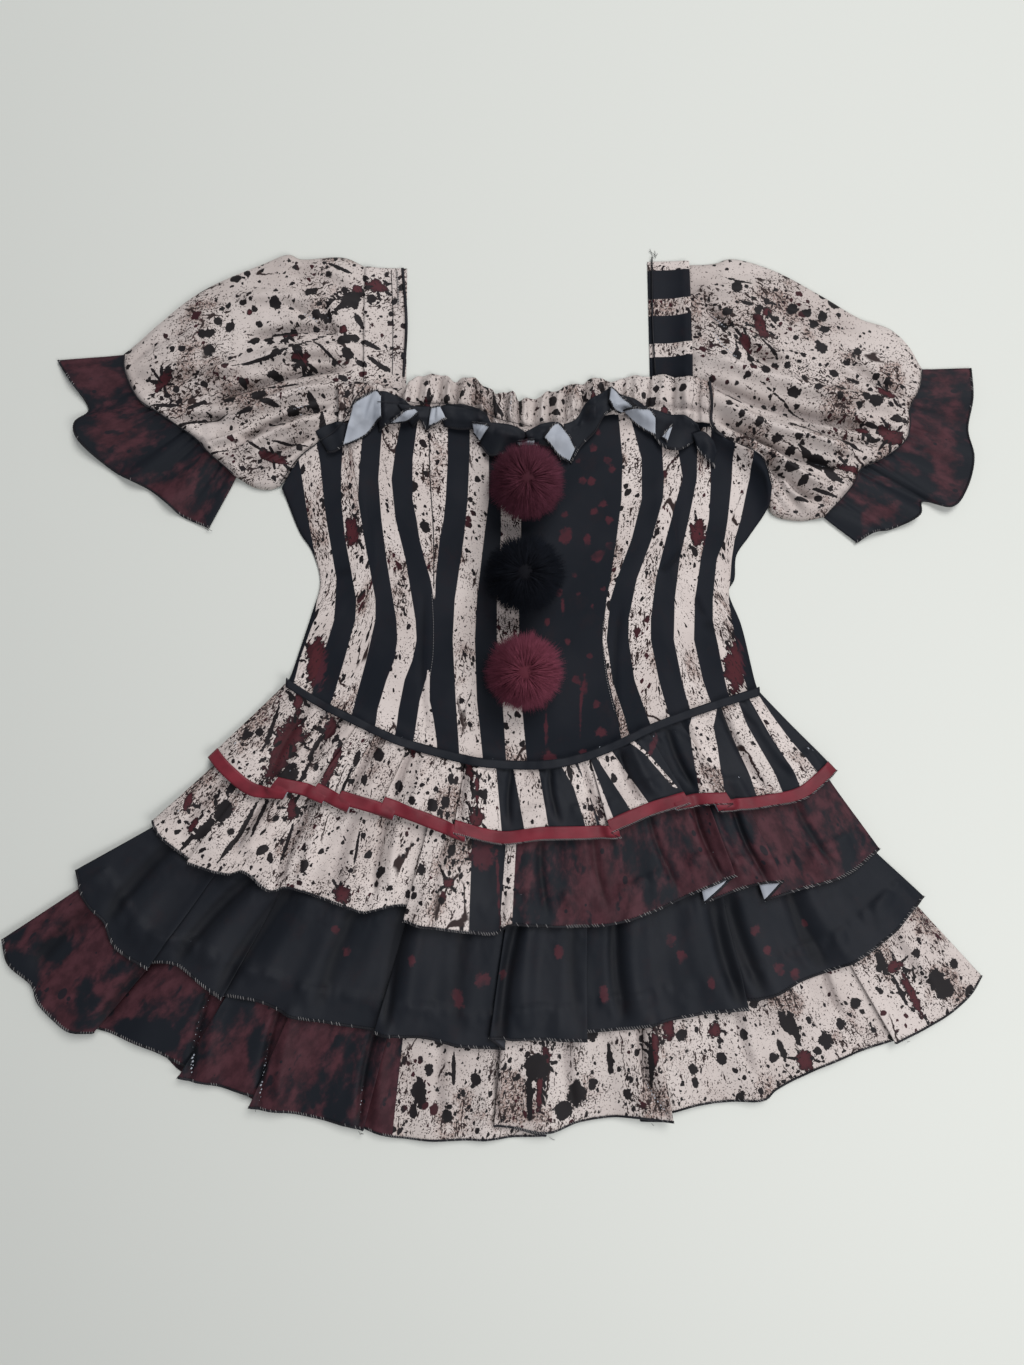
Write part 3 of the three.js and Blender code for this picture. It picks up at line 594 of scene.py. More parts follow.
finishes = {
    "creamOnly": printedCloth("cream_cloth", ["sleeve"]),
    "redOnly": printedCloth("mottled_red_cloth", ["mottled"]),
    "cuffRed": printedCloth("cuff_red_cloth", ["cuff"]),
    "charcoalOnly": printedCloth("charcoal_cloth", ["charcoal"]),
    "striped": printedCloth("striped_cloth", ["charcoal", "cream"], 0.08),
    "skirtMixed": printedCloth("mixed_cloth", ["cream", "charcoal", "mottled"]),
    "hemMixed": printedCloth("hem_cloth", ["sleeve", "mottled"]),
    "reverse": plainCloth("cloth_reverse", (0.30, 0.32, 0.36), (0.38, 0.40, 0.44), 0.6),
    "darkReverse": plainCloth("dark_reverse", (0.02, 0.022, 0.028), (0.03, 0.032, 0.04), 0.6),
    "ribbon": plainCloth("satin_ribbon", (0.105, 0.009, 0.016), (0.170, 0.015, 0.026), 0.5, 0.5, 0.02, 0.28),
    "thread": plainCloth("black_thread", (0.006, 0.006, 0.008), (0.016, 0.016, 0.02), 0.6),
    "paleThread": plainCloth("pale_thread", (0.24, 0.23, 0.23), (0.38, 0.36, 0.35), 0.6),
}
print("finishes made,", len(finishes))


# Lines that the bodice, sleeves and skirt share

waist = softLine([
    (-213, 12), (-184, -6), (-158, -19), (-112, -40), (-76, -51), (-40, -59), (4, -62), (40, -58), (76, -46),
    (112, -29), (158, -12), (209, 4)])
leftSide = softLine([(-218, 190), (-202, 150), (-191, 133), (-184, 106), (-192, 76), (-204, 40), (-213, 12)])
rightSide = softLine([
    (219, 190), (217, 172), (202, 148), (190, 130), (188, 108), (183, 98), (194, 68), (202, 36), (209, 4)])
neckEdge = softLine([
    (-218, 190), (-202, 214), (-186, 228), (-165, 246), (-163, 274), (-120, 276), (-60, 274), (0, 262),
    (60, 274),
    (120, 276), (154, 282), (163, 262), (165, 244), (189, 226), (209, 214), (219, 190)])


def stripeEdge(x, y, stripes):
    # how far inside the nearest stripe a spot is;
    # a stripe is rows of y, left x and right x, from the top down
    best = np.full(x.shape, -0.05)
    for stripe in stripes:
        rows = np.array(stripe, float)[::-1] * mm
        left = np.interp(y, rows[:, 0], rows[:, 1])
        right = np.interp(y, rows[:, 0], rows[:, 2])
        inside = np.minimum(x - left, right - x)
        ends = np.minimum(y - rows[0, 0], rows[-1, 0] - y)
        best = np.maximum(best, np.minimum(inside, ends))
    return best


def blots(x, y, table):
    # soft-edged blots: x, y, half width, half height and, for some, a lean in degrees;
    # the field is 0 at the edge and more inside
    best = np.full(x.shape, -1.0)
    for bx, by, wide, tall, *lean in table:
        turn = math.radians(sum(lean))
        dx, dy = x - bx * mm, y - by * mm
        along = (dx * math.cos(turn) + dy * math.sin(turn)) / (wide * mm)
        across = (dy * math.cos(turn) - dx * math.sin(turn)) / (tall * mm)
        best = np.maximum(best, 1 - np.hypot(along, across))
    return best


smallBlot = 20  # half width by half height, in square millimetres


def legs(table, seed):
    # thin black legs and small drops round each of the larger red blots
    rng = np.random.default_rng(seed)
    out = []
    for bx, by, wide, tall, *lean in table:
        if wide * tall < smallBlot:
            continue
        for way in np.arange(0, 360, 45) + rng.uniform(-18, 18, 8):
            a, turn = math.radians(way), math.radians(way - sum(lean))
            edge = 1 / math.hypot(math.cos(turn) / wide, math.sin(turn) / tall)
            long = rng.uniform(2, 7)
            for far, half, thin in ((edge + long * 0.5, long, 1.5), (edge + long * 1.9, 1.8, 1.6)):
                if rng.uniform() < 0.62:
                    out.append((bx + far * math.cos(a), by + far * math.sin(a), half, thin, way))
    return out


def clothUv(grid):
    # cloth metres across and down, measured along the cloth itself
    across = np.linalg.norm(np.diff(grid, axis=1), axis=2)
    down = np.linalg.norm(np.diff(grid, axis=0), axis=2)
    u = np.zeros(grid.shape[:2])
    v = np.zeros(grid.shape[:2])
    u[:, 1:] = np.cumsum(across, axis=1)
    u[:] = u[-1]
    v[1:] = np.cumsum(down, axis=0)
    return np.stack([u, -v], axis=-1)


def lay(name, grid, settings, uv=None):
    # lays a grid whose z is the cloth's own rise on the pile, and makes its shell
    x, y = grid[..., 0], grid[..., 1]
    base = pile.under(x, y, settings.get("soft", 4)) if pile.tops.max() > 0 else np.zeros_like(x)
    middle = grid.copy()
    middle[..., 2] = np.where(base > 0.05 * mm, base + layerGap, clothWall / 2) + np.maximum(grid[..., 2], 0)
    cloth = clothUv(middle) if uv is None else uv
    cloth = cloth + np.array(settings.get("printAt", (0, 0)))
    red, ink = list(settings.get("redBlots", [])), list(settings.get("inkBlots", []))
    if settings["finish"] in ("creamOnly", "skirtMixed", "hemMixed", "striped"):
        ink += legs(red, len(red))
    fields = {"redBlot": blots(x, y, red), "inkBlot": blots(x, y, ink),
              "foldShade": settings.get("shade", np.zeros(x.shape))}
    for zone in ("creamZone", "charcoalZone", "mottledZone"):
        fields[zone] = np.full(x.shape, -1.0)
    for zone, edge in settings.get("zones", {}).items():
        fields[zone] = edge(x, y)
    finish = (finishes[settings["finish"]], finishes[settings.get("reverse", "reverse")])
    piece = clothShell(name + "_cloth", middle, cloth, fields, finish)
    cover = middle.copy()
    cover[..., 2] += clothWall / 2
    pile.cover(cover)
    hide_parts(*settings["replaces"])
    return piece, middle


def drawnIn(grid, by):
    # moves a grid's points this far towards its middle
    middle = grid.reshape(-1, 3).mean(0) * (1, 1, 0)
    out = (grid - middle) * (1, 1, 0)
    far = np.linalg.norm(out, axis=-1, keepdims=True)
    return grid - out / np.maximum(far, 1e-9) * by


def evenly(length, pitch):
    # shares from 0 to 1, about a pitch apart
    return np.linspace(0, 1, max(3, int(round(length / pitch)) + 1))


bodiceLong = 290 * mm
backPitch = 9 * mm  # between two points of a hidden back
backInset = 3 * mm  # a back is this much smaller all round than its front
bandDeep = 8 * mm


def bodicePatch(pitch):
    across = evenly(neckEdge.length * 0.8, pitch)
    return patch(neckEdge, waist, leftSide, rightSide, across, evenly(bodiceLong, pitch))


def flatGrid(grid):
    # gives a grid of x and y a height of nothing
    return np.concatenate([grid, np.zeros(grid.shape[:2] + (1,))], axis=-1)


def bandPatch(pitch):
    up = np.linspace(bandDeep, 0, 6)[:, None]
    grid = flatGrid(waist(evenly(waist.length, pitch))[None] * np.ones((len(up), 1, 1)))
    grid[..., 1] += up
    return grid


back = {"finish": "charcoalOnly", "slot": "charcoal_cloth", "soft": 2}
lay("waist_band_back", drawnIn(bandPatch(backPitch), backInset),
    dict(back, replaces=["waist_band_back"], reverse="charcoalOnly"))
lay("bodice_back", drawnIn(flatGrid(bodicePatch(backPitch)), backInset),
    dict(back, finish="redOnly", reverse="redOnly", slot="mottled_red_cloth", replaces=["bodice_back"]))


# Puff sleeves and their cuff flounces. A hem's rows are x, y and height; a row of creases is
# x and y of both ends, half width, height; way is the direction in which the print runs.

sleeves = {
    "left": {
        "armhole": [(-139, 386), (-140, 325), (-142, 284), (-150, 262), (-164, 243), (-186, 226),
                    (-202, 214), (-220, 192)],
        "cuffSeam": [(-360, 310), (-357, 292), (-345, 268), (-328, 257), (-306, 242), (-292, 232),
                     (-281, 220), (-259, 200)],
        "crown": [(-139, 386), (-162, 397), (-202, 396), (-212, 400), (-234, 392), (-292, 366), (-344, 324),
                  (-360, 310)],
        "under": [(-220, 192), (-230, 189), (-243, 191), (-259, 200)],
        "hem": [(-420, 305, 1), (-408, 287, 6), (-392, 260, 1), (-403, 248, 6), (-400, 234, 9),
                (-369, 205, 2), (-352, 196, 7), (-338, 189, 2), (-318, 174, 7), (-310, 166, 1),
                (-284, 154, 1)],
        "creases": [
            (-160, 296, -286, 262, 5, -5), (-160, 312, -300, 282, 8, 5), (-165, 330, -250, 322, 5, -4),
            (-158, 350, -262, 356, 7, 3), (-170, 280, -262, 246, 6, 5), (-176, 262, -258, 228, 4, -5),
            (-184, 250, -262, 214, 5, 4), (-190, 236, -246, 206, 4, -4), (-240, 300, -345, 272, 5, -3),
            (-262, 292, -350, 290, 7, 3), (-158, 368, -212, 386, 5, -3), (-270, 250, -318, 248, 5, -4),
            (-250, 232, -290, 224, 4, 3), (-300, 330, -352, 300, 5, -2), (-206, 222, -250, 196, 4, -3),
            (-168, 318, -192, 372, 4, -2), (-152, 300, -215, 300, 2.5, -1.6),
            (-165, 290, -225, 280, 2.5, 1.4), (-172, 268, -228, 252, 2.5, -1.8),
            (-236, 262, -300, 240, 2.5, -1.6), (-226, 244, -282, 224, 2.5, 1.5),
            (-214, 206, -252, 198, 2.5, -1.4), (-262, 276, -330, 262, 3, -1.6),
            (-176, 330, -214, 352, 3, -1.6), (-196, 374, -230, 392, 3, -1.5),
            (-250, 356, -290, 352, 3, -1.3), (-160, 262, -190, 238, 2.5, -1.6)
        ],
        "way": (-0.93, -0.36),
        "redBlots": [
            (-133, 371, 10, 6, -10), (-200, 303, 10, 3, 12), (-196, 300, 4, 5), (-209, 324, 9, 3, 5),
            (-323, 282, 14, 4, 45), (-224, 216, 15, 5, -20), (-150, 366, 6, 5), (-162, 330, 4, 4),
            (-244, 344, 3, 3)
        ],
        "inkBlots": [
            (-155, 356, 8, 9), (-248, 381, 3, 4), (-221, 352, 6, 5), (-185, 342, 5, 4), (-240, 347, 3, 3),
            (-190, 362, 6, 4, 30), (-272, 336, 4, 4), (-286, 325, 4, 4), (-279, 325, 5, 4),
            (-262, 331, 5, 4, 30), (-280, 310, 6, 5, 20), (-215, 326, 12.6, 2.5, 5),
            (-222, 289, 6, 4, -20), (-250, 282, 4, 4), (-236, 270, 7, 5), (-140, 318, 10.8, 2.5, -20),
            (-130, 300, 12.6, 2.5, -30), (-160, 352, 23.4, 1.9, 38), (-230, 300, 30, 1.4, 14),
            (-210, 228, 21.6, 1.2, -8), (-286, 218, 30.6, 1, 8), (-320, 262, 12.6, 1.9),
            (-300, 246, 18, 1.9, 10), (-165, 385, 12.6, 1.9, -25), (-148, 338, 3, 8, 30),
            (-152, 322, 4, 4), (-158, 308, 5, 5), (-146, 300, 6, 3, -30), (-170, 300, 3, 3),
            (-162, 286, 5, 3, -20), (-176, 340, 5, 5), (-172, 352, 7.2, 1.9, 40), (-186, 330, 3, 3),
            (-198, 340, 4, 3), (-206, 312, 3, 3), (-218, 306, 4, 4), (-196, 290, 10.8, 1.9, 20),
            (-228, 320, 4, 3), (-236, 334, 3, 3), (-244, 310, 3, 3), (-226, 262, 10.8, 2.5, -15),
            (-206, 258, 5, 4), (-246, 254, 9, 1.9, 20), (-262, 266, 6, 3), (-274, 250, 12.6, 1.6, 15),
            (-218, 244, 10.8, 1.6, -10), (-188, 262, 4, 10, 20), (-180, 244, 3, 12),
            (-292, 262, 10.8, 1.9, 20), (-310, 276, 3, 3), (-166, 362, 16, 1.4, 35),
            (-190, 318, 30, 1.3, 25), (-214, 278, 26, 1.2, 8), (-176, 308, 20, 1.2, -40)
        ],
        "printAt": (0.0, 0.0), "cuffPrintAt": (0.3, 0.1),
        "cuffRed": [(-380, 286, 22, 12), (-372, 240, 20, 8, 10), (-312, 178, 30, 16, -35),
                    (-298, 158, 14, 14)],
    },
    "right": {
        "armhole": [(145, 390), (145, 330), (146, 285), (152, 262), (165, 240), (190, 225), (210, 213),
                    (219, 192)],
        "cuffSeam": [(356, 297), (352, 277), (344, 261), (341, 234), (320, 216), (299, 206), (292, 192),
                     (268, 164)],
        "crown": [(145, 390), (171, 392), (184, 396), (220, 387), (266, 363), (302, 342), (328, 333),
                  (345, 317), (356, 297)],
        "under": [(219, 192), (221, 168), (245, 161), (268, 164)],
        "hem": [(401, 298, 1), (400, 270, 7), (398, 243, 1), (401, 216, 7), (396, 189, 3), (382, 173, 7),
                (357, 178, 1), (353, 166, 7), (328, 153, 2), (312, 150, 6), (298, 141, 1)],
        "creases": [
            (172, 262, 300, 222, 7, 5), (176, 248, 286, 204, 4, -5), (190, 236, 276, 186, 6, 4),
            (206, 222, 262, 176, 4, -4), (160, 284, 320, 240, 6, -5), (162, 306, 330, 262, 8, 4),
            (160, 352, 226, 296, 6, -4), (156, 366, 236, 372, 8, 3), (176, 330, 250, 300, 5, 3),
            (288, 302, 344, 268, 5, -3), (230, 352, 306, 330, 6, -2), (296, 248, 338, 244, 5, 3),
            (246, 246, 326, 226, 4, -3), (218, 208, 244, 172, 4, -3), (228, 196, 256, 168, 5, 3),
            (170, 270, 236, 250, 2.5, -1.6), (200, 238, 258, 206, 2.5, -1.8),
            (212, 226, 262, 190, 2.5, 1.5), (232, 262, 306, 246, 2.5, -1.6),
            (252, 232, 312, 214, 2.5, 1.5), (232, 190, 262, 180, 2.5, -1.5), (196, 340, 238, 322, 3, -1.5),
            (166, 330, 196, 296, 3, -1.7), (180, 380, 222, 384, 3, -1.3), (262, 300, 318, 280, 3, -1.4),
            (222, 184, 236, 166, 2.5, -1.5)
        ],
        "way": (0.89, -0.46),
        "redBlots": [(209, 331, 6, 13, 20), (196, 317, 10, 4, -65), (322, 272, 11, 4, -25),
                     (325, 235, 14, 7, -20), (289, 205, 12, 3, -22), (300, 240, 7, 3, -20),
                     (214, 344, 5, 4)],
        "inkBlots": [
            (187, 366, 5, 5), (180, 345, 5, 4), (238, 348, 6, 5), (251, 345, 4, 4), (256, 334, 5, 4),
            (265, 342, 5, 4), (266, 329, 5, 4), (176, 333, 5, 4), (212, 292, 5, 5, -30), (295, 310, 4, 4),
            (262, 312, 6, 5, -20), (274, 290, 5, 4), (246, 305, 3, 3), (232, 296, 3, 3), (222, 297, 4, 3),
            (330, 250, 6, 4), (310, 265, 7, 5), (262, 210, 14, 6, -25), (249, 220, 10.8, 2.5, -40),
            (246, 195, 4, 4), (235, 206, 7, 5), (230, 265, 39.6, 1, -38), (185, 268, 12.6, 1.2, -30),
            (190, 372, 18, 1.2, -20), (300, 190, 14.4, 1.9, -25), (209, 191, 10.8, 2.5, -30),
            (196, 352, 8.1, 1.6, -20), (206, 346, 4, 4), (214, 354, 3, 3), (222, 338, 4, 3),
            (200, 302, 4, 3), (216, 312, 14, 1.4, -50), (188, 306, 4, 5), (176, 308, 3, 3),
            (240, 322, 3, 3), (286, 300, 4, 3), (290, 284, 7.2, 1.6, -30), (312, 288, 3, 3),
            (322, 284, 3, 3), (300, 268, 4, 4), (276, 268, 3, 3), (258, 276, 4, 3), (246, 284, 3, 3),
            (306, 244, 7.2, 1.9, -20), (286, 226, 14.4, 1.9, -25), (272, 200, 10, 4, -30),
            (236, 222, 4, 4), (222, 232, 5, 3), (206, 246, 4, 4), (190, 252, 3, 3), (214, 262, 3, 3),
            (266, 184, 12.6, 1.6, -20), (246, 178, 7.2, 1.9, -20), (180, 230, 6, 4),
            (250, 240, 24, 1.2, -20)
        ],
        "printAt": (0.7, 0.3), "cuffPrintAt": (1.4, 0.7),
        "cuffRed": [(376, 214, 15, 24), (334, 200, 18, 9, 10), (316, 166, 20, 8, 20)],
    },
}


sleevePuff = 14 * mm
sleeveFoldHeight = 2.2  # over what the table says


def sleevePatch(sleeve, pitch):
    sides = ("crown", "under", "armhole", "cuffSeam")
    crown, under, armhole, cuffSeam = [softLine(sleeve[side]) for side in sides]
    across = evenly(crown.length, pitch)
    down = evenly(armhole.length, pitch)
    return patch(crown, under, armhole, cuffSeam, across, down), across, down


def sleeveCloth(sleeve, x, y):
    # cloth coordinates whose second axis runs the sleeve's way
    ahead, aside = sleeve["way"]
    return np.stack([x * aside - y * ahead, x * ahead + y * aside], axis=-1)


def cuffSheet(sleeve, pitch, rising):
    hem, seam = softLine(sleeve["hem"]), softLine(sleeve["cuffSeam"])
    along = evenly(hem.length * 1.1, pitch)
    v = evenly(0.06, pitch)[:, None]
    tip, root = hem(along), seam(along)
    start = -4 * mm / np.linalg.norm(tip[:, :2] - root, axis=1)
    share = start + (1 - start) * v
    grid = np.zeros((len(v), len(along), 3))
    grid[..., :2] = root + (tip[:, :2] - root) * share[..., None]
    rise = tip[:, 2] * (0.35 + 0.65 * np.clip(share, 0, 1))
    gathers = 1.6 * mm * softNoise(along * hem.length, along * 0, 5 * mm, 11)
    grid[..., 2] = rising * np.maximum(rise + gathers * np.exp(-3 * np.clip(share, 0, 1)), 0)
    return grid


for side, sleeve in sleeves.items():
    grid, across, down = sleevePatch(sleeve, backPitch)
    lay(f"sleeve_{side}_back", drawnIn(flatGrid(grid), backInset),
        dict(back, finish="creamOnly", reverse="creamOnly", slot="cream_cloth",
             replaces=[f"sleeve_{side}_back"]))
    lay(f"cuff_{side}_back", drawnIn(cuffSheet(sleeve, backPitch, 0), backInset),
        dict(back, finish="redOnly", reverse="redOnly", slot="mottled_red_cloth",
             replaces=[f"cuff_{side}_back"]))
for side, sleeve in sleeves.items():
    piece, middle = lay(f"cuff_{side}_front", cuffSheet(sleeve, 2 * mm, 1), {
        "finish": "cuffRed", "slot": "mottled_red_cloth", "replaces": [f"cuff_{side}_front"], "soft": 3,
        "printAt": sleeve["cuffPrintAt"], "redBlots": sleeve["cuffRed"]})
    overlock(f"cuff_{side}_hem_stitches", middle, "mottled_red_cloth", 1.8 * mm, 2.2 * mm, 0.08, 70)
    grid, across, down = sleevePatch(sleeve, 2.2 * mm)
    u, v = np.meshgrid(across, down)
    dome = np.sqrt(np.maximum(1 - (2 * u - 1) ** 4, 0) * np.maximum(1 - (2 * v - 1) ** 4, 0))
    rise = sleevePuff * dome
    x, y = grid[..., 0], grid[..., 1]
    creases = creaseRise(x, y, sleeve["creases"], 0.8) * dome
    rise += sleeveFoldHeight * creases
    rise += (2.4 * mm * softNoise(x, y, 26 * mm, 21) + 1.1 * mm * softNoise(x, y, 9 * mm, 22)) * dome
    # painted shade in the crease troughs, to darken the colour there
    shade = np.clip(-creases / (4 * mm), 0, 1)
    # gathers fan out from the armhole and from the cuff, with painted shade between them
    for end, seed in ((u, 31), (1 - u, 32)):
        fan = softNoise(v * 0.24, end * 0.05, 5.5 * mm, seed)
        rise += 2.0 * mm * fan * np.exp(-end / 0.13) * ease(end / 0.02)
        shade += 0.7 * np.clip(-1.3 * fan - 0.2, 0, 1) * np.exp(-end / 0.13)
    sheet = np.dstack([x, y, np.maximum(rise, 0)])
    lay(f"sleeve_{side}_front", sheet,
        {"finish": "creamOnly", "slot": "cream_cloth", "replaces": [f"sleeve_{side}_front"], "soft": 5,
         "redBlots": sleeve["redBlots"], "inkBlots": sleeve["inkBlots"], "printAt": sleeve["printAt"],
         "shade": shade}, sleeveCloth(sleeve, x, y))
print("sleeves laid")


# Skirt tiers. A row is a place along the hem: x, y, height there and, where a fold is, which way:
# 1 where this stretch lies over the next, -1 where the next lies over this one.
# A row of folds is a crease or ridge: x and y of both ends, half width, height.

tiers = {
    "tier_1": {
        "folds": [
            (-161, -12, -193, -62, 3, -2.5), (-150, -18, -180, -66, 6, 3), (-125, -30, -157, -88, 3, -3),
            (-112, -34, -140, -92, 6, 3), (-100, -42, -116, -94, 3, -2.5), (-88, -48, -98, -104, 6, 2.5),
            (-52, -58, -57, -112, 3, -3), (-42, -60, -46, -112, 6, 3), (-12, -62, -14, -110, 3, -2.5),
            (22, -62, 30, -108, 3, -2.5), (52, -56, 68, -104, 3, -2), (84, -46, 104, -92, 3, -3),
            (94, -40, 118, -84, 6, 3), (128, -28, 150, -78, 3, -3), (150, -18, 176, -80, 6, 2.5),
            (176, -10, 214, -78, 3, -3), (198, 0, 244, -70, 5, 2), (-190, 0, -226, -62, 4, -2)
        ],
        "finish": "skirtMixed", "slot": "cream_cloth", "rows": [
            (-283, -51, 1), (-266, -68, 4), (-244, -84, 2), (-214, -87, 2, -1), (-224, -77, 6),
            (-200, -83, 3), (-180, -91, 2, -1), (-189, -83, 6), (-158, -99, 2, -1), (-167, -90, 6),
            (-140, -98, 4), (-118, -106, 2, -1), (-128, -96, 6), (-86, -112, 4), (-54, -125, 2, -1),
            (-63, -117, 6), (-22, -128, 2), (14, -124, 4), (50, -123, 5), (84, -122, 2, -1),
            (76, -117, 6), (112, -102, 4), (145, -91, 6, 1), (134, -97, 1), (160, -92, 5),
            (182, -91, 6, 1), (171, -98, 1), (212, -95, 4), (248, -87, 3), (278, -63, 1)],
    },
    "tier_2": {
        "folds": [
            (-230, -92, -258, -135, 3, -3), (-218, -90, -244, -140, 6, 3), (-190, -88, -219, -168, 4, -4),
            (-176, -92, -200, -170, 7, 4), (-123, -105, -133, -172, 3, -3),
            (-150, -100, -168, -172, 6, -2), (-112, -108, -118, -176, 6, 3), (-70, -122, -78, -190, 3, -2),
            (14, -124, 20, -190, 4, -2), (60, -118, 74, -186, 4, -2), (110, -100, 136, -168, 3, -2),
            (150, -92, 176, -160, 3, -4), (186, -96, 214, -160, 3, -4), (166, -94, 192, -156, 6, 4),
            (240, -88, 274, -148, 4, -2), (-268, -72, -306, -122, 4, -2)
        ],
        "finish": "skirtMixed", "slot": "mottled_red_cloth", "rows": [
            (-333, -108, 1), (-324, -122, 4), (-290, -148, 2, -1), (-299, -144, 5), (-261, -154, 6),
            (-252, -152, 2), (-225, -169, 5), (-212, -167, 2), (-171, -179, 5), (-144, -189, 4),
            (-135, -187, 7), (-112, -183, 2), (-97, -184, 2, -1), (-107, -195, 6), (-54, -206, 5),
            (-27, -208, 2), (-14, -200, 5), (32, -202, 1), (76, -199, 4), (112, -188, 4),
            (153, -169, 5), (184, -155, 7, 1), (160, -180, 1), (206, -163, 3), (227, -160, 7, 1),
            (213, -178, 1), (248, -167, 3), (284, -155, 4), (316, -133, 1)],
    },
    "tier_3": {
        "folds": [
            (-317, -130, -374, -200, 7.2, -3), (-300, -138, -352, -212, 10.2, 3),
            (-242, -158, -310, -232, 7.2, -3.8), (-226, -160, -290, -240, 11.6, 3.8),
            (-212, -170, -272, -262, 7.2, -3.8), (-190, -174, -238, -264, 11.6, 3),
            (-150, -185, -184, -276, 7.2, -2.2), (-104, -184, -122, -292, 5.8, -3.8),
            (-90, -190, -102, -292, 10.2, 3), (-5, -196, -21, -308, 5.8, -4.5),
            (8, -196, 4, -300, 10.2, 3), (81, -194, 89, -286, 5.8, -3.8), (94, -194, 104, -284, 10.2, 3),
            (169, -178, 193, -272, 7.2, -4.5), (182, -176, 212, -260, 7.2, -3.8),
            (150, -180, 168, -272, 10.2, 2.2), (235, -168, 268, -240, 7.2, -3),
            (250, -164, 284, -228, 10.2, 2.2), (-50, -194, -60, -300, 8.7, -1.5),
            (42, -196, 50, -296, 7.2, -1.5)
        ],
        "finish": "charcoalOnly", "reverse": "darkReverse", "slot": "charcoal_cloth", "rows": [
            (-402, -152, 1), (-390, -182, 4), (-374, -198, 6), (-366, -219, 2), (-334, -237, 6, 1),
            (-343, -234, 1), (-312, -234, 3), (-288, -252, 2), (-269, -264, 6, 1), (-279, -261, 1),
            (-235, -269, 3), (-202, -281, 5), (-158, -290, 2), (-121, -295, 2, -1), (-133, -294, 7),
            (-86, -301, 4), (-54, -308, 5), (-19, -310, 2, -1), (-31, -299, 7), (18, -301, 3),
            (54, -302, 6, 1), (42, -297, 1), (86, -293, 3), (104, -290, 3), (158, -279, 3),
            (197, -274, 7, 1), (184, -269, 1), (216, -264, 6), (248, -250, 2), (292, -232, 5),
            (328, -205, 4), (357, -176, 1)],
    },
    "tier_4": {
        "folds": [
            (-283, -262, -299, -340, 3, -4), (-270, -262, -284, -342, 6, 3),
            (-218, -270, -237, -362, 3, -4), (-204, -272, -220, -360, 6, 3),
            (-132, -288, -148, -382, 3, -4), (-120, -288, -132, -382, 6, 3), (-23, -302, -23, -380, 3, -3),
            (103, -284, 111, -350, 3, -4), (114, -282, 124, -350, 6, 3), (111, -346, 130, -372, 3, -3),
            (267, -236, 284, -282, 3, -3), (-330, -230, -380, -290, 6, -3),
            (-392, -190, -440, -236, 7, -3), (40, -296, 44, -370, 5, -2), (190, -262, 206, -336, 5, -2),
            (-70, -296, -74, -380, 5, -2), (330, -206, 366, -262, 5, -2)
        ],
        "finish": "hemMixed", "slot": "cream_cloth", "rows": [
            (-468, -214, 1), (-461, -236, 4), (-441, -256, 2), (-435, -270, 5), (-408, -294, 6),
            (-386, -297, 4, 1), (-397, -290, 1), (-338, -311, 4), (-298, -333, 2, -1), (-309, -337, 6),
            (-265, -348, 4), (-234, -357, 2, -1), (-245, -362, 6), (-202, -371, 4), (-145, -383, 6, 1),
            (-156, -380, 1), (-117, -391, 4), (-76, -394, 3), (-22, -393, 2), (18, -390, 1, -1),
            (-27, -379, 6), (21, -385, 5), (50, -377, 2), (90, -373, 3), (131, -375, 7, 1),
            (104, -377, 1), (148, -364, 4), (181, -360, 2), (214, -357, 5), (225, -349, 2),
            (274, -324, 5), (305, -313, 2), (342, -302, 2, -1), (331, -306, 6), (374, -284, 4),
            (398, -265, 3), (410, -248, 1)],
    },
}
fanCentre = np.array([28, 232]) * mm
tuckUnder = 28 * mm
foldGap = 1.3 * mm  # between two layers of a folded hem
foldReach = 24 * mm  # a lifted layer comes down over this length
turnAngles = [math.radians(a) for a in (35, 90, 145)]  # points round the turn of a fold
foldHeight = (1.6, 1.5, 1.5, 1.35)  # of each tier, over what its table says
rowPitch = 1.36  # rows of a tier are this much further apart than its columns


def hemRuns(rows):
    # splits the rows at the folds
    runs, over = [[]], []
    for row in rows:
        runs[-1].append(row[:3])
        if row[3:]:
            over.append(row[3])
            runs.append([])
    return runs, over


def hemColumns(rows, pitch):
    # walks the hem: x, y, height and lift of each column; it turns back under itself at each fold
    runs, over = hemRuns(rows)
    columns = []
    for k, run in enumerate(runs):
        line = softLine(run)
        count = max(3, int(line.length / pitch))
        spots = line(np.linspace(0, 1, count + 1))
        lift = np.zeros(count + 1)
        if k > 0:
            lap = (runs[k - 1][-1][0] - run[0][0]) * mm
            top = 2 * foldGap if over[k - 1] < 0 else 0.0
            past = spots[:, 0] - spots[0, 0] - lap - 3 * mm
            lift = np.maximum(lift, top * (1 - ease(past / foldReach)))
        if k < len(over):
            lap = (run[-1][0] - runs[k + 1][0][0]) * mm
            top = 2 * foldGap if over[k] > 0 else 0.0
            past = spots[-1, 0] - spots[:, 0] - lap - 3 * mm
            lift = np.maximum(lift, top * (1 - ease(past / foldReach)))
        columns.append(np.column_stack([spots, lift]))
        if k < len(over):
            # the layer between: it runs back from the end of this run to the start of the next
            first, last = spots[-1], np.array(runs[k + 1][0]) * mm
            near = 0.0 if over[k] < 0 else 2 * foldGap
            turn = np.array([0.5 * foldGap, 0, 0])
            for a in turnAngles:
                level = near - over[k] * foldGap * (1 - math.cos(a)) / 2
                columns.append(np.append(first + turn * math.sin(a), level)[None])
            steps = max(2, int(abs(first[0] - last[0]) / pitch))
            share = np.linspace(0, 1, steps + 1)[1:-1, None]
            between = first + (last - first) * share
            columns.append(np.column_stack([between, np.full(len(between), foldGap)]))
            for a in turnAngles:
                level = foldGap - over[k] * foldGap * (1 - math.cos(a)) / 2
                columns.append(np.append(last - turn * math.sin(a), level)[None])
    return np.vstack(columns)


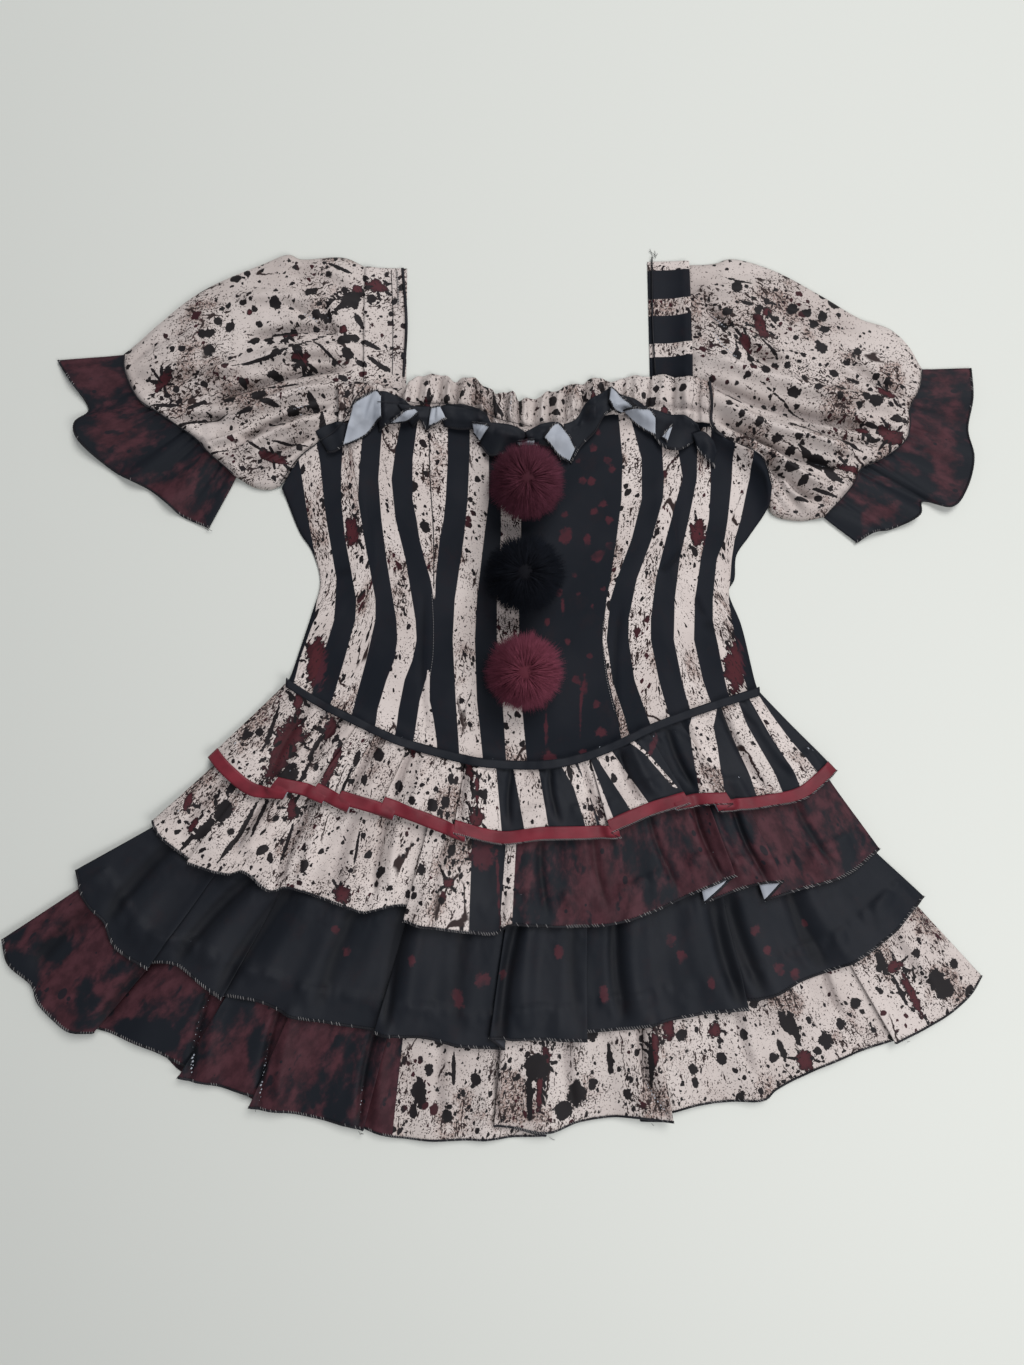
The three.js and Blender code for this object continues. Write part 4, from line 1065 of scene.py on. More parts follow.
def rootLine(level):
    if level == 0:
        line = softLine(np.column_stack([waist(np.linspace(0, 1, 12)) / mm, np.zeros(12)]))
        return lambda share: line(share)[..., :2] + np.array([0, 4 * mm])
    above = np.array([row[:2] for row in tiers[f"tier_{level}"]["rows"]], float) * mm
    xs = np.linspace(above[0, 0], above[-1, 0], 160)
    ys = np.interp(xs, np.maximum.accumulate(above[:, 0]), above[:, 1])
    kernel = np.hanning(15) / np.hanning(15).sum()
    ys = np.convolve(np.pad(ys, 7, mode="edge"), kernel, "valid")

    def at(share):
        inside = np.clip(share, 0.01, 0.99)
        x = xs[0] + inside * (xs[-1] - xs[0])
        spot = np.stack([x, np.interp(x, xs, ys)], axis=-1)
        back = fanCentre - spot
        return spot + back / np.linalg.norm(back, axis=-1, keepdims=True) * tuckUnder

    return at


def tierSheet(level, rows, pitch, rising, folds=()):
    # a gathered tier down to its hem: its grid, and the painted shade of its folds
    columns = hemColumns(rows, pitch)
    x0, x1 = rows[0][0] * mm, rows[-1][0] * mm
    share = (columns[:, 0] - x0) / (x1 - x0)
    root = rootLine(level)(share)
    long = np.linalg.norm(columns[:, :2] - root, axis=1)
    v = evenly(np.median(long), rowPitch * pitch)[:, None]
    grid = np.zeros((len(v), len(columns), 3))
    grid[..., :2] = root + (columns[:, :2] - root) * v[..., None]
    hill = columns[:, 2] * (0.35 + 0.65 * v)
    along = share * 1.12 * (x1 - x0) * np.ones_like(v)
    puckers = softNoise(along, v * long, 4.5 * mm, 40 + level)
    waves = softNoise(along, v * long * 0.3, 13 * mm, 50 + level)
    broad = softNoise(along, v * long * 0.2, 27 * mm, 60 + level)
    creases = creaseRise(grid[..., 0], grid[..., 1], folds)
    # painted shade: in the crease troughs, between the puckers near the root and in the troughs of the waves
    shade = np.clip(-creases / (2.6 * mm), 0, 1)
    shade += 0.8 * np.clip(-1.4 * puckers - 0.25, 0, 1) * np.exp(-v / 0.3)
    shade += 0.35 * np.clip(-waves - 0.2, 0, 1)
    grid[..., 2] = rising * np.maximum(
        hill + 1.1 * mm * (waves + 0.6) * (1 - 0.4 * v) + 2.4 * mm * (broad + 0.7)
        + 1.7 * mm * (puckers + 0.7) * np.exp(-v / 0.22) + foldHeight[level] * creases, 0)
    grid[..., 2] += columns[:, 3] * np.minimum(1, 0.45 + 0.55 * v)
    return grid, shade


def unfolded(rows):
    # a plain hem for a hidden back: no folds or heights, and x that only rises
    kept = []
    for x, y, height, *fold in rows:
        if not fold and (not kept or x > kept[-1][0] + 5):
            kept.append((x, y, 0))
    return kept


skirtBacks = ["redOnly", "creamOnly", "charcoalOnly", "redOnly"]
ribbonDeep = 12 * mm
ribbonBulge = 0.3 * mm


def ribbonSheet(rows, pitch, inset, rising):
    # the satin ribbon follows the first tier's hem, over all its folds
    grid, shade = tierSheet(0, rows, pitch, rising)
    hem, near = grid[-1], grid[-2]
    back = near - hem
    back /= np.linalg.norm(back[:, :2], axis=1, keepdims=True)
    share = np.linspace(0, 1, 7)[:, None]
    sheet = hem[None] + back[None] * (ribbonDeep * (1 - share) + inset)[..., None]
    sheet[..., 2] = rising * ribbonBulge * np.sin(np.pi * share)
    return sheet


backRows = {name: unfolded(tier["rows"]) for name, tier in tiers.items()}
ribbonFinish = {"finish": "ribbon", "reverse": "ribbon", "slot": "red_ribbon"}
lay("ribbon_back", ribbonSheet(backRows["tier_1"], backPitch, backInset, 0),
    dict(ribbonFinish, replaces=["ribbon_back"], soft=2))
for level, (name, tier) in enumerate(tiers.items()):
    grid, shade = tierSheet(level, backRows[name], backPitch, 0)
    lay(f"{name}_back", drawnIn(grid, backInset),
        dict(back, finish=skirtBacks[level], reverse=skirtBacks[level], slot=tier["slot"],
             replaces=[f"{name}_back"]))
print("backs laid")


# Prints of the skirt: where charcoal and mottled red begin, and the cream stripes of the first tier

tierOneStripes = [
    [(-54, -11.7, 10.8), (-108, -1.8, 19.8), (-126, 1, 23)],
    [(-48, 26, 40), (-77.4, 43.2, 54.9), (-126, 57.6, 67.5)],
    [(-42, 42, 54), (-105.3, 64.8, 78.3), (-126, 71.1, 84.6)],
    [(-38, 55, 72), (-91.8, 90, 109.8), (-117, 102.6, 125.1)],
    [(-30.6, 83.7, 90), (-47.7, 106.2, 109.8), (-77.4, 131.4, 135)],
    [(0, 153, 172.8), (-23.4, 146.7, 168.3), (-41.4, 148.5, 171.9), (-100, 156, 178)],
    [(5, 171, 188), (-21.6, 181.8, 198), (-63.9, 198.9, 221.4), (-100, 210, 236)],
    [(12, 194, 203), (-31.5, 218.7, 234), (-65.7, 239.4, 261), (-95, 251, 275)],
]


def rightOf(x0, y0, x1, y1):
    # how far a spot is to the right of a leaning line
    return lambda x, y: x - mm * (x0 + (x1 - x0) * (y / mm - y0) / (y1 - y0))


def between(*edges):
    return lambda x, y: np.minimum.reduce([edge(x, y) for edge in edges])


def flipped(edge):
    return lambda x, y: -edge(x, y)


prints = {
    "tier_1": {
        "zones": {"charcoalZone": between(rightOf(-26, -60, -20, -126),
                                          flipped(lambda x, y: stripeEdge(x, y, tierOneStripes)))},
        "redBlots": [
            (-215, -42, 11, 34, -22), (-208, -30, 14, 11), (-174, -26, 6, 11, -20),
            (-172, -60, 4, 24, -24), (-202, 0, 5, 10), (-100, -42, 4, 10), (-43, -104, 7, 9),
            (-43, -80, 2, 16), (-50, -60, 4, 12, 10), (114, -40, 3, 12, -20)
        ],
        "inkBlots": [
            (-248, -31, 5, 5), (-237, -28, 4, 4), (-130, -49, 5, 6), (-82, -93, 5, 7),
            (-210, -70, 8, 16, -30), (-150, -52, 3, 9, -20), (-226, -24, 2, 20, -18),
            (-196, -66, 1.6, 18, -24), (-160, -76, 1.6, 22, -22), (-186, -40, 2, 14, -30),
            (-142, -70, 3, 5), (-112, -76, 4, 5), (-100, -88, 3, 4), (-66, -70, 3, 5), (-36, -84, 3, 6),
            (-74, -104, 1.4, 10)
        ],
    },
    "tier_2": {
        "zones": {"charcoalZone": between(rightOf(-47.7, -128, -50, -206),
                                          flipped(rightOf(-17, -128, -23, -206))),
                  "mottledZone": rightOf(-8, -128, -12, -202)},
        "redBlots": [(-209, -97, 5, 11), (-162, -172, 8, 9), (-68, -162, 5, 5), (-38, -138, 12, 15, 10),
                     (-24, -165, 1.6, 40, 3), (-300, -90, 4, 9, -20), (-296, -112, 3, 9, -30)],
        "inkBlots": [
            (-270, -100, 8, 12, -40), (-285, -115, 5, 14, -42), (-262, -78, 4, 8, -30), (-175, -190, 3, 4),
            (-250, -112, 2, 26, -28), (-262, -130, 1.6, 18, -34), (-236, -104, 2.2, 22, -22),
            (-226, -140, 3, 5), (-212, -126, 1.5, 20, -16), (-196, -146, 4, 5), (-300, -126, 2, 12, -40),
            (-150, -132, 1.4, 18, -8), (-128, -152, 3, 4), (-92, -150, 4, 5), (-74, -176, 3, 4),
            (-104, -172, 3, 4)
        ],
    },
    "tier_3": {"redBlots": [
        (-170, -205, 4, 5), (-160, -225, 4, 5), (-38, -250, 7, 8), (-60, -265, 6, 9, 20),
        (-20, -245, 4, 5), (30, -225, 5, 7), (70, -262, 5, 8), (130, -215, 5, 6), (140, -228, 5, 7),
        (205, -205, 5, 6), (215, -222, 4, 5), (165, -250, 4, 6), (225, -238, 5, 7, 10), (240, -243, 5, 6),
        (250, -200, 3, 4), (-100, -230, 4, 6)
    ]},
    "tier_4": {
        "zones": {"mottledZone": flipped(rightOf(-108.9, -300, -118.8, -390))},
        "redBlots": [
            (18, -322, 5, 15, -10), (13, -342, 3, 28, -4), (250, -322, 8, 11, 10), (170, -296, 6, 8),
            (345, -262, 4, 26, 25), (330, -238, 9, 6, 30), (128, -292, 6, 14), (115, -310, 4, 20)
        ],
        "inkBlots": [
            (10, -326, 12, 12), (-95, -350, 7, 13), (46, -352, 8, 12), (-76, -303, 6, 7),
            (-62, -307, 5, 5), (240, -292, 4, 17, 20), (375, -258, 9, 10), (268, -304, 6, 9, 10),
            (60, -300, 5, 6), (-36, -296, 5, 6), (-70, -372, 5, 7), (398, -262, 5, 7),
            (318, -234, 4, 13, 24), (336, -262, 2, 18, 26), (367, -250, 8, 10), (232, -288, 4, 12, 20),
            (205, -270, 5, 6), (196, -300, 4, 5), (176, -321, 5, 6), (150, -330, 4, 5),
            (112, -322, 2.4, 24, 2), (4, -352, 3, 26), (34, -366, 9, 9), (-86, -330, 4, 6),
            (76, -322, 3, 14, 4), (60, -344, 4, 5), (92, -352, 4, 5), (296, -272, 5, 6), (282, -290, 4, 5),
            (350, -226, 4, 5), (-44, -340, 5, 6), (-100, -368, 4, 6), (-450, -242, 14, 24, -30),
            (-332, -304, 32, 14, -20), (-391, -264, 11, 22), (-240, -320, 10, 28), (-300, -322, 8, 18),
            (-420, -222, 16, 10, 20), (140, -300, 5, 6), (222, -320, 4, 5), (-64, -330, 2, 16),
            (384, -236, 4, 5)
        ],
    },
}
for level in (3, 2, 1, 0):
    name = f"tier_{level + 1}"
    tier = tiers[name]
    pitch = (2.0 if level < 2 else 2.2) * mm
    grid, shade = tierSheet(level, tier["rows"], pitch, 1, tier["folds"])
    piece, middle = lay(f"{name}_front", grid, dict(
        prints[name], finish=tier["finish"], reverse=tier.get("reverse", "reverse"), slot=tier["slot"],
        replaces=[f"{name}_front"], soft=15, shade=shade))
    if level > 0:
        overlock(f"{name}_hem_stitches", middle, tier["slot"], 2.4 * mm, 2.3 * mm, 0.42, 80 + level)
piece, middle = lay("ribbon_front", ribbonSheet(tiers["tier_1"]["rows"], 2 * mm, 0, 1),
                    dict(ribbonFinish, replaces=["ribbon_front"], soft=1))
rightHalf = middle[:, middle.shape[1] * 45 // 100:]
overlock("ribbon_stitches", rightHalf, "red_ribbon", 1.1 * mm, 2.0 * mm, 0.75, 91)
print("skirt laid")


# Straps

straps = {
    "left": {"top": (-126, 388), "foot": (-127, 266), "peek": 3, "finish": "creamOnly", "slot": "cream_cloth",
             "redBlots": sleeves["left"]["redBlots"], "inkBlots": sleeves["left"]["inkBlots"], "zones": {}},
    "right": {"top": (130, 394), "foot": (133, 266), "peek": -3,
              "finish": "striped", "slot": "charcoal_cloth",
              "zones": {"creamZone": lambda x, y: stripeEdge(y, -x, [
                  [(0, 386, 410), (-300, 386, 410)], [(0, 345, 360), (-300, 345, 360)],
                  [(0, 308, 320), (-300, 308, 320)]])}},
}
for side, strap in straps.items():
    for layer in ("back", "front"):
        shift = strap["peek"] if layer == "back" else 0
        v, u = np.meshgrid(np.linspace(0, 1, 62), np.linspace(-17, 17, 18), indexing="ij")
        x = (strap["top"][0] + (strap["foot"][0] - strap["top"][0]) * v + shift + u) * mm
        y = (strap["top"][1] + (strap["foot"][1] - strap["top"][1]) * v) * mm
        rise = 0.8 * mm * np.sin(np.pi * v) * (layer == "front")
        looks = {key: value for key, value in strap.items() if key not in ("top", "foot", "peek")}
        cloth = sleeveCloth(sleeves[side], x, y) if side == "left" else None
        lay(f"strap_{side}_{layer}", np.dstack([x, y, rise]),
            dict(looks, replaces=[f"strap_{side}_{layer}"], soft=3), cloth)


# Bodice front: charcoal and cream stripes that lean in at the waist, and two darts

bodiceStripes = [
    [(234, -202.5, -186.3), (211.5, -201.6, -183.6), (162, -194.4, -178.2), (108, -184.5, -169.2),
     (72, -189, -171), (36, -202.5, -182.7), (18, -206.1, -188.1), (-6, -210, -192)],
    [
        (280, -160, -143), (247.5, -162, -144.9), (207, -164.7, -148.5), (180, -164.7, -149.4),
        (144, -161.1, -144), (90, -151.2, -134.1), (72, -152.1, -134.1), (36, -162, -142.2),
        (0, -172.8, -152.1), (-30, -180, -158)
    ],
    [
        (280, -125, -107), (256.5, -126.9, -109.8), (225, -129.6, -116.1), (198, -131.4, -119.7),
        (162, -128.7, -116.1), (126, -124.2, -107.1), (72, -115.2, -98.1), (54, -114.3, -97.2),
        (36, -117, -100.8), (18, -124.2, -108), (-9, -132.3, -113.4), (-50, -136, -118)
    ],
    [(280, -93, -69), (256.5, -95.4, -69.3), (216, -100.8, -69.3), (180, -100.8, -71.1),
     (162, -97.2, -72.9), (144, -94.5, -76.5), (126, -90, -78.3), (108, -84.6, -80.1), (90, -81.9, -80.5)],
    [(27, -87.3, -84.6), (18, -89.1, -85.5), (0, -94.5, -85.5), (-37.8, -99.9, -90.5), (-60, -101, -92)],
    [(-3.6, -85.5, -84.6), (-18, -88.2, -81.9), (-36, -89.1, -79.2), (-60, -90, -77)],
    [(280, -49, -35), (256.5, -49.5, -35.1), (225, -49.5, -32.4), (180, -51.3, -32.4), (144, -54.9, -36.9),
     (90, -63, -43.2), (54, -64.8, -45), (0, -62.1, -43.2), (-60, -58, -37)],
    [(175.5, -21.6, -3.6), (148.5, -21.6, -3.6), (90, -25.2, -5.4), (54, -25.2, -5.4), (-6.3, -19.8, -2.7),
     (-70, -16, 3)],
    [(280, 80, 92), (256.5, 83.7, 93.6), (216, 87.3, 104.4), (180, 86.4, 104.4), (144, 81.9, 95.4),
     (108, 76.5, 81.9), (90, 72.9, 76.5), (54, 69.3, 72.9), (18, 74.7, 78.3), (-18, 83.7, 90),
     (-60, 89, 99)],
    [(280, 118, 128), (252, 121.5, 132.3), (198, 124.2, 141.3), (180, 123.3, 135.9), (144, 113.4, 126),
     (108, 99.9, 117), (72, 92.7, 112.5), (54, 92.7, 112.5), (18, 98.1, 119.7), (-50, 122, 139)],
    [(243, 154.8, 165.6), (198, 153.9, 166.5), (162, 146.7, 164.7), (126, 138.6, 157.5), (90, 134.1, 152.1),
     (54, 133.2, 151.2), (18, 140.4, 159.3), (-30, 153, 175)],
    [(243, 186.3, 201.6), (198, 185.4, 200.7), (162, 181.8, 193.5), (144, 179.1, 188.1),
     (126, 171.9, 185.4), (90, 168.3, 182.7), (72, 168.3, 185.4), (36, 175.5, 192.6), (4.5, 182, 200),
     (2, 183, 201)],
]
bodice = {
    "finish": "striped", "slot": "cream_cloth", "replaces": ["bodice_front"], "soft": 5,
    "redBlots": [
        (-155, 150, 7, 14), (-187, 34, 10, 26), (188, 30, 10, 26), (155, 150, 8, 12), (61, 226, 4, 4),
        (74, 215, 4, 4), (78, 207, 4, 4), (59, 196, 4, 5), (52, 197, 4, 4), (70, 176, 4, 4),
        (62, 169, 4, 4), (36, 166, 4, 4), (75, 161, 4, 4), (34, 144, 4, 4), (56, 146, 3, 3),
        (76, 138, 4, 4), (63, 128, 5, 5), (68, -29, 6, 5), (52, -49, 5, 6), (64, -4, 4, 4),
        (19, -28, 2, 24, 2), (50, -10, 1.5, 28), (21, -52, 7, 6), (37, 148, 6, 8), (56, 144, 4, 6),
        (66, 130, 6, 5, 20), (44, 112, 3, 3), (30, 96, 4, 5), (34, 84, 2, 8), (20, 70, 3, 4),
        (48, 96, 3, 3), (60, 84, 2, 3), (38, 52, 3, 4), (14, 46, 2, 3), (58, 40, 3, 3), (46, 18, 4, 5),
        (20, 8, 2, 14), (54, 12, 2, 12), (12, 166, 3, 3), (48, 214, 3, 3), (66, 240, 3, 4),
        (30, 200, 2, 3), (70, 100, 3, 3)
    ],
    "inkBlots": [],
    "creases": [
        (122, 116, 140, 135, 3, -2), (152, 93, 161, 74, 3, -1.5), (-190, 110, -150, 118, 5, -1.5),
        (-200, 60, -160, 80, 5, 1.5), (160, 70, 195, 50, 5, -1.5), (-90, 90, -84, -40, 3, -1.2),
        (85, 80, 84, -30, 3, -1.2), (-150, 200, -140, 120, 8, 1.2), (120, 200, 130, 120, 8, 1.2)
    ],
}
bodice["zones"] = {"creamZone": lambda x, y: stripeEdge(x, y, bodiceStripes)}
grid = bodicePatch(2.8 * mm)
rows, columns = grid.shape[:2]
u, v = np.meshgrid(np.linspace(0, 1, columns), np.linspace(0, 1, rows))
x, y = grid[..., 0], grid[..., 1]
inside = np.sqrt(np.maximum(1 - (2 * u - 1) ** 6, 0)) * np.minimum(1, v * 12) * np.minimum(1, (1 - v) * 12)
creases = creaseRise(x, y, bodice["creases"]) * inside
# painted shade in the crease troughs
bodice["shade"] = np.clip(-creases / (1.8 * mm), 0, 1)
rise = (3 * mm + 1.0 * mm * softNoise(x, y, 45 * mm, 61)) * inside + 1.3 * creases
lay("bodice_front", np.dstack([x, y, np.maximum(rise, 0)]), bodice)
lay("waist_band_front", bandPatch(3 * mm),
    {"finish": "charcoalOnly", "slot": "charcoal_cloth", "replaces": ["waist_band_front"], "soft": 2})
print("bodice laid")


# Neck frill: a gathered strip that stands over the elastic, its pleats listed one by one

frill = {
    "upper": [
        (-165, 278), (-150, 281), (-132, 281), (-118, 277), (-110, 274), (-104, 283), (-94, 291),
        (-82, 292), (-70, 290), (-63, 285), (-54, 289), (-44, 288), (-37, 281), (-30, 279), (-26, 273),
        (-18, 276), (-10, 275), (-5, 269), (4, 270), (14, 272), (20, 276), (30, 277), (36, 282), (50, 283),
        (58, 288), (68, 289), (78, 284), (86, 288), (98, 291), (112, 290), (126, 291), (140, 287),
        (152, 286), (166, 281)
    ],
    "lower": [(-165, 246), (-135, 252), (-94, 254), (-50, 250), (-20, 240), (4, 234), (32, 238), (58, 252),
              (104, 254), (166, 244)],
    "pleats": [
        (-150, 282, -146, 252, 2.6, 3.5), (-138, 282, -137, 254, 2.2, -2.5), (-122, 280, -126, 254, 3, 4),
        (-111, 276, -110, 254, 1.8, -4.5), (-102, 286, -106, 255, 3, 4.5), (-92, 292, -97, 256, 2, -2.5),
        (-84, 292, -88, 256, 3.5, 3.5), (-74, 292, -76, 256, 1.8, -3.5), (-66, 290, -68, 255, 2.6, 4),
        (-60, 288, -61, 254, 1.6, -4.5), (-52, 290, -56, 254, 3, 4), (-42, 288, -46, 252, 2, -3.5),
        (-35, 283, -38, 250, 2.6, 4.5), (-29, 280, -31, 247, 1.6, -4), (-23, 277, -26, 245, 2, 4),
        (-16, 277, -17, 244, 1.4, -4.5), (-11, 277, -12, 243, 1.8, 5), (-6, 272, -6, 240, 1.5, -4.5),
        (1, 271, 0, 238, 2.8, 3.5), (10, 272, 9, 238, 1.6, -3.5), (17, 275, 16, 238, 2, 4),
        (24, 278, 22, 240, 1.5, -4), (31, 279, 29, 242, 2.6, 4), (38, 283, 36, 245, 1.6, -4),
        (46, 284, 43, 248, 2.8, 4), (55, 287, 52, 250, 1.6, -4), (63, 290, 60, 252, 2.4, 4.5),
        (72, 288, 70, 253, 1.6, -3.5), (80, 286, 78, 254, 2.4, 3.5), (90, 290, 88, 255, 1.8, -3),
        (101, 292, 99, 255, 3.2, 3.5), (113, 291, 110, 255, 1.8, -3), (124, 292, 121, 254, 3, 3.5),
        (134, 290, 132, 253, 1.8, -3), (145, 288, 142, 252, 3, 3), (156, 286, 153, 250, 2, -2.5)
    ],
    "finish": "creamOnly", "slot": "cream_cloth", "replaces": ["neck_frill"], "soft": 3,
    "printAt": (0.35, 0.2),
    "inkBlots": [(25, 267, 4, 5), (28, 256, 4, 3), (-27, 262, 1.6, 12, 4), (-118, 262, 4, 4),
                 (-70, 268, 3, 4), (-4, 264, 1.6, 14), (112, 266, 5, 4, 20), (86, 262, 3, 4)],
    "redBlots": [(62, 266, 3, 11, 10), (-88, 262, 3, 8), (124, 258, 4, 4)],
}
upper, lower = softLine(frill["upper"]), softLine(frill["lower"])
along = evenly(upper.length, 1.3 * mm)
v = evenly(36 * mm, 1.5 * mm)[:, None]
grid = upper(along)[None] * (1 - v[..., None]) + lower(along)[None] * v[..., None]
fine = softNoise(along * upper.length * np.ones_like(v), v * 10 * mm, 3.4 * mm, 72)
small = softNoise(along * upper.length * np.ones_like(v), v * 6 * mm, 1.9 * mm, 73)
elastic = np.exp(-((v - 0.72) / 0.06) ** 2)
pleats = creaseRise(grid[..., 0], grid[..., 1], frill["pleats"])
# painted shade in the pleat troughs and along the elastic
frill["shade"] = np.clip(-pleats / (4 * mm), 0, 1) + 0.9 * elastic
rise = 4 * mm + 1.35 * pleats + 0.9 * mm * fine + 0.5 * mm * small
rise = rise * (1 - 0.7 * elastic) * np.minimum(1, 0.55 + 2 * v)
edgeWave = 1.3 * mm * softNoise(along * upper.length, along * 0, 7 * mm, 74)
grid[..., 1] += edgeWave * (1 - v) ** 2
lay("neck_frill", np.dstack([grid[..., 0], grid[..., 1], np.maximum(rise, 0.3 * mm)]), frill)


# Neck ruffle over the frill's foot: charcoal flutes, and flaps turned up to show the pale reverse.
# Upper and lower edge of each, from left to right, and its rise

ruffle = {
    "finish": "charcoalOnly", "slot": "charcoal_cloth", "replaces": ["neck_ruffle"],
    "lobes": [
        ("face", [(-186, 238), (-176, 244), (-166, 246), (-154, 244)],
         [(-176, 221), (-170, 221), (-163, 226), (-156, 236)], 5),
        ("face", [(-133, 274), (-122, 273), (-110, 268), (-100, 260)],
         [(-130, 240), (-124, 244), (-118, 246), (-112, 248)], 5),
        ("face", [(-113, 262), (-99, 261), (-83, 261), (-76, 260)],
         [(-100, 244), (-93, 249), (-88, 241), (-84, 245)], 4),
        ("face", [(-79, 261), (-63, 263), (-47, 261), (-35, 254), (-30, 246)],
         [(-72, 244), (-60, 241), (-47, 241), (-38, 243), (-33, 240)], 5),
        ("face", [(-40, 246), (-22, 246), (-8, 243), (3, 236)],
         [(-40, 228), (-31, 217), (-20, 219), (-12, 222)], 6),
        ("face", [(0, 238), (14, 245), (28, 247), (36, 240)],
         [(4, 224), (14, 226), (24, 224), (32, 214)], 5),
        ("face", [(34, 245), (45, 250), (54, 264), (66, 272), (76, 279)],
         [(41, 211), (50, 226), (62, 238), (70, 252), (79, 258)], 6),
        ("face", [(74, 279), (84, 273), (96, 268), (113, 258)],
         [(74, 262), (82, 263), (92, 262), (108, 252)], 4),
        ("face", [(110, 260), (128, 254), (141, 252), (151, 245), (157, 237)],
         [(112, 240), (122, 226), (136, 222), (147, 228), (152, 232)], 6),
        ("face", [(148, 236), (158, 238), (167, 231), (171, 222)],
         [(153, 226), (158, 218), (164, 212), (169, 208)], 5),
        ("reverse", [(-151, 261), (-140, 270), (-131, 274), (-127, 269)],
         [(-162, 225), (-143, 236), (-131, 247), (-127, 249)], 3),
        ("reverse", [(-119, 247), (-107, 255), (-99, 258)],
         [(-118, 245), (-102, 248), (-94, 254)], 2.5),
        ("reverse", [(-83, 260), (-76, 261)], [(-86, 243), (-70, 249)], 3),
        ("reverse", [(-47, 246), (-31, 243)], [(-45, 236), (-41, 230)], 3),
        ("reverse", [(-7, 230), (8, 231)], [(-6, 226), (8, 225)], 2),
        ("reverse", [(16, 233), (28, 246), (36, 239), (45, 225)],
         [(17, 231), (23, 225), (30, 217), (39, 212)], 3.5),
        ("reverse", [(76, 278), (84, 270), (97, 259)], [(74, 264), (78, 257), (84, 255)], 3),
        ("reverse", [(86, 256), (98, 258), (110, 258), (115, 252)],
         [(90, 253), (103, 243), (110, 238), (116, 235)], 3),
        ("reverse", [(120, 235), (131, 245)], [(122, 233), (126, 229)], 2),
    ],
}


def lobeGrid(upper, lower, height, shows):
    # a flute between two edges; a turned flap is highest along its upper edge
    top, bottom = softLine(upper), softLine(lower)
    left, right = softLine([upper[0], lower[0]]), softLine([upper[-1], lower[-1]])
    across = evenly(max(top.length, bottom.length), 1.4 * mm)
    down = evenly(max(left.length, right.length, 12 * mm), 1.5 * mm)
    spot = patch(top, bottom, left, right, across, down)
    u, v = np.meshgrid(across, down)
    if shows == "face":
        wave = 0.25 * np.sin(2.2 * np.pi * u + upper[0][0]) * np.sin(np.pi * u)
        height = height * mm * (np.sin(np.pi * u) ** 0.6 * (0.40 + 0.60 * ease(v / 0.6)) + wave)
        height = height * (0.25 + 0.75 * ease(v / 0.35))
    else:
        height = height * mm * (0.35 + 0.65 * ease((1 - v) / 0.7)) * (0.5 + 0.5 * np.sin(np.pi * u) ** 0.7)
        height = height + 1.8 * mm * np.exp(-((u - 0.62 + 0.35 * (v - 0.5)) / 0.10) ** 2) * np.sin(np.pi * v)
        height = height - 1.0 * mm * np.exp(-((u - 0.36 + 0.30 * (v - 0.5)) / 0.12) ** 2) * np.sin(np.pi * v)
    return np.dstack([spot[..., 0], spot[..., 1], np.maximum(height, 0)])


def mergeShells(name, parts, finish, replaced):
    # parts: middle grid, and whether the pale reverse looks up
    vertices, quads, slots, uvs, start = [], [], [], [], 0
    for middle, shows in parts:
        normal = normalsOf(middle)
        if np.mean(normal[..., 2]) < 0:
            middle, normal = middle[:, ::-1], -normal[:, ::-1]
        top, low, rim = shellFaces(*middle.shape[:2])
        quads.append(np.concatenate([top, low, rim]) + start)
        up, down = (1, 0) if shows == "reverse" else (0, 1)
        slots.append(np.concatenate([np.full(len(top), up), np.full(len(top), down), np.zeros(len(rim))]))
        vertices += [(middle + side * normal * clothWall / 2).reshape(-1, 3) for side in (1, -1)]
        uvs += [middle[..., :2].reshape(-1, 2)] * 2
        start += 2 * middle.shape[0] * middle.shape[1]
    quads = np.concatenate(quads)
    uv = np.concatenate(uvs)
    nothing = np.full(len(uv), -1.0)
    piece = meshFrom(name + "_cloth", np.concatenate(vertices), quads, uv,
                     {"redBlot": nothing, "inkBlot": nothing}, np.concatenate(slots), None,
                     (finishes[finish], finishes["reverse"]))
    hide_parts(*replaced)
    return piece


parts = []
for number, (shows, upper, lower, height) in enumerate(ruffle["lobes"]):
    grid = lobeGrid(upper, lower, height, shows)
    grid[..., 2] += pile.under(grid[..., 0], grid[..., 1], 3) + layerGap
    parts.append((grid, shows))
    pile.cover(grid + np.array([0, 0, clothWall / 2]))
    edges = [("stitches", grid, 120)]
    if shows == "reverse":
        edges = [("stitches", grid[::-1], 120), ("flap_edge", grid, 150)]
    for kind, edge, seed in edges:
        overlock(f"ruffle_{kind}_{number + 1}", edge, "charcoal_cloth",
                 1.9 * mm, 1.7 * mm, 0.34, seed + number)
rufflePiece = mergeShells("neck_ruffle", parts, ruffle["finish"], ruffle["replaces"])
print("neck laid")


# Seams and thread ends that lie on the cloth

def onPile(points, lift, pitch=1.2 * mm):
    # a smooth path that lies on the cloth
    line = softLine(points)
    spots = line(evenly(line.length, pitch))
    height = pile.under(spots[:, 0], spots[:, 1], 1) + lift
    return np.column_stack([spots[:, :2], height])


def seam(name, row):
    # a thread line on the cloth, or a row of stitches where the row gives the pitch of its dashes;
    # finish 0 is black thread and 1 is pale
    path = onPile(row["at"], row.get("lift", 0.55) * mm)
    wide, dashes = row["wide"] * mm, row.get("dashes", 0) * mm
    up = np.array([0, 0, 1.0])
    if dashes:
        at, spots = walk(path, dashes)
        points, faces = threadBars(spots(0), spots(0.55 * dashes), up, wide)
    else:
        points, faces = tubeAlong(path, wide, 0.5 * mm, up)
    return sewn(name, [(points, faces, row.get("finish", 0))], row.get("slot", "cream_cloth"))


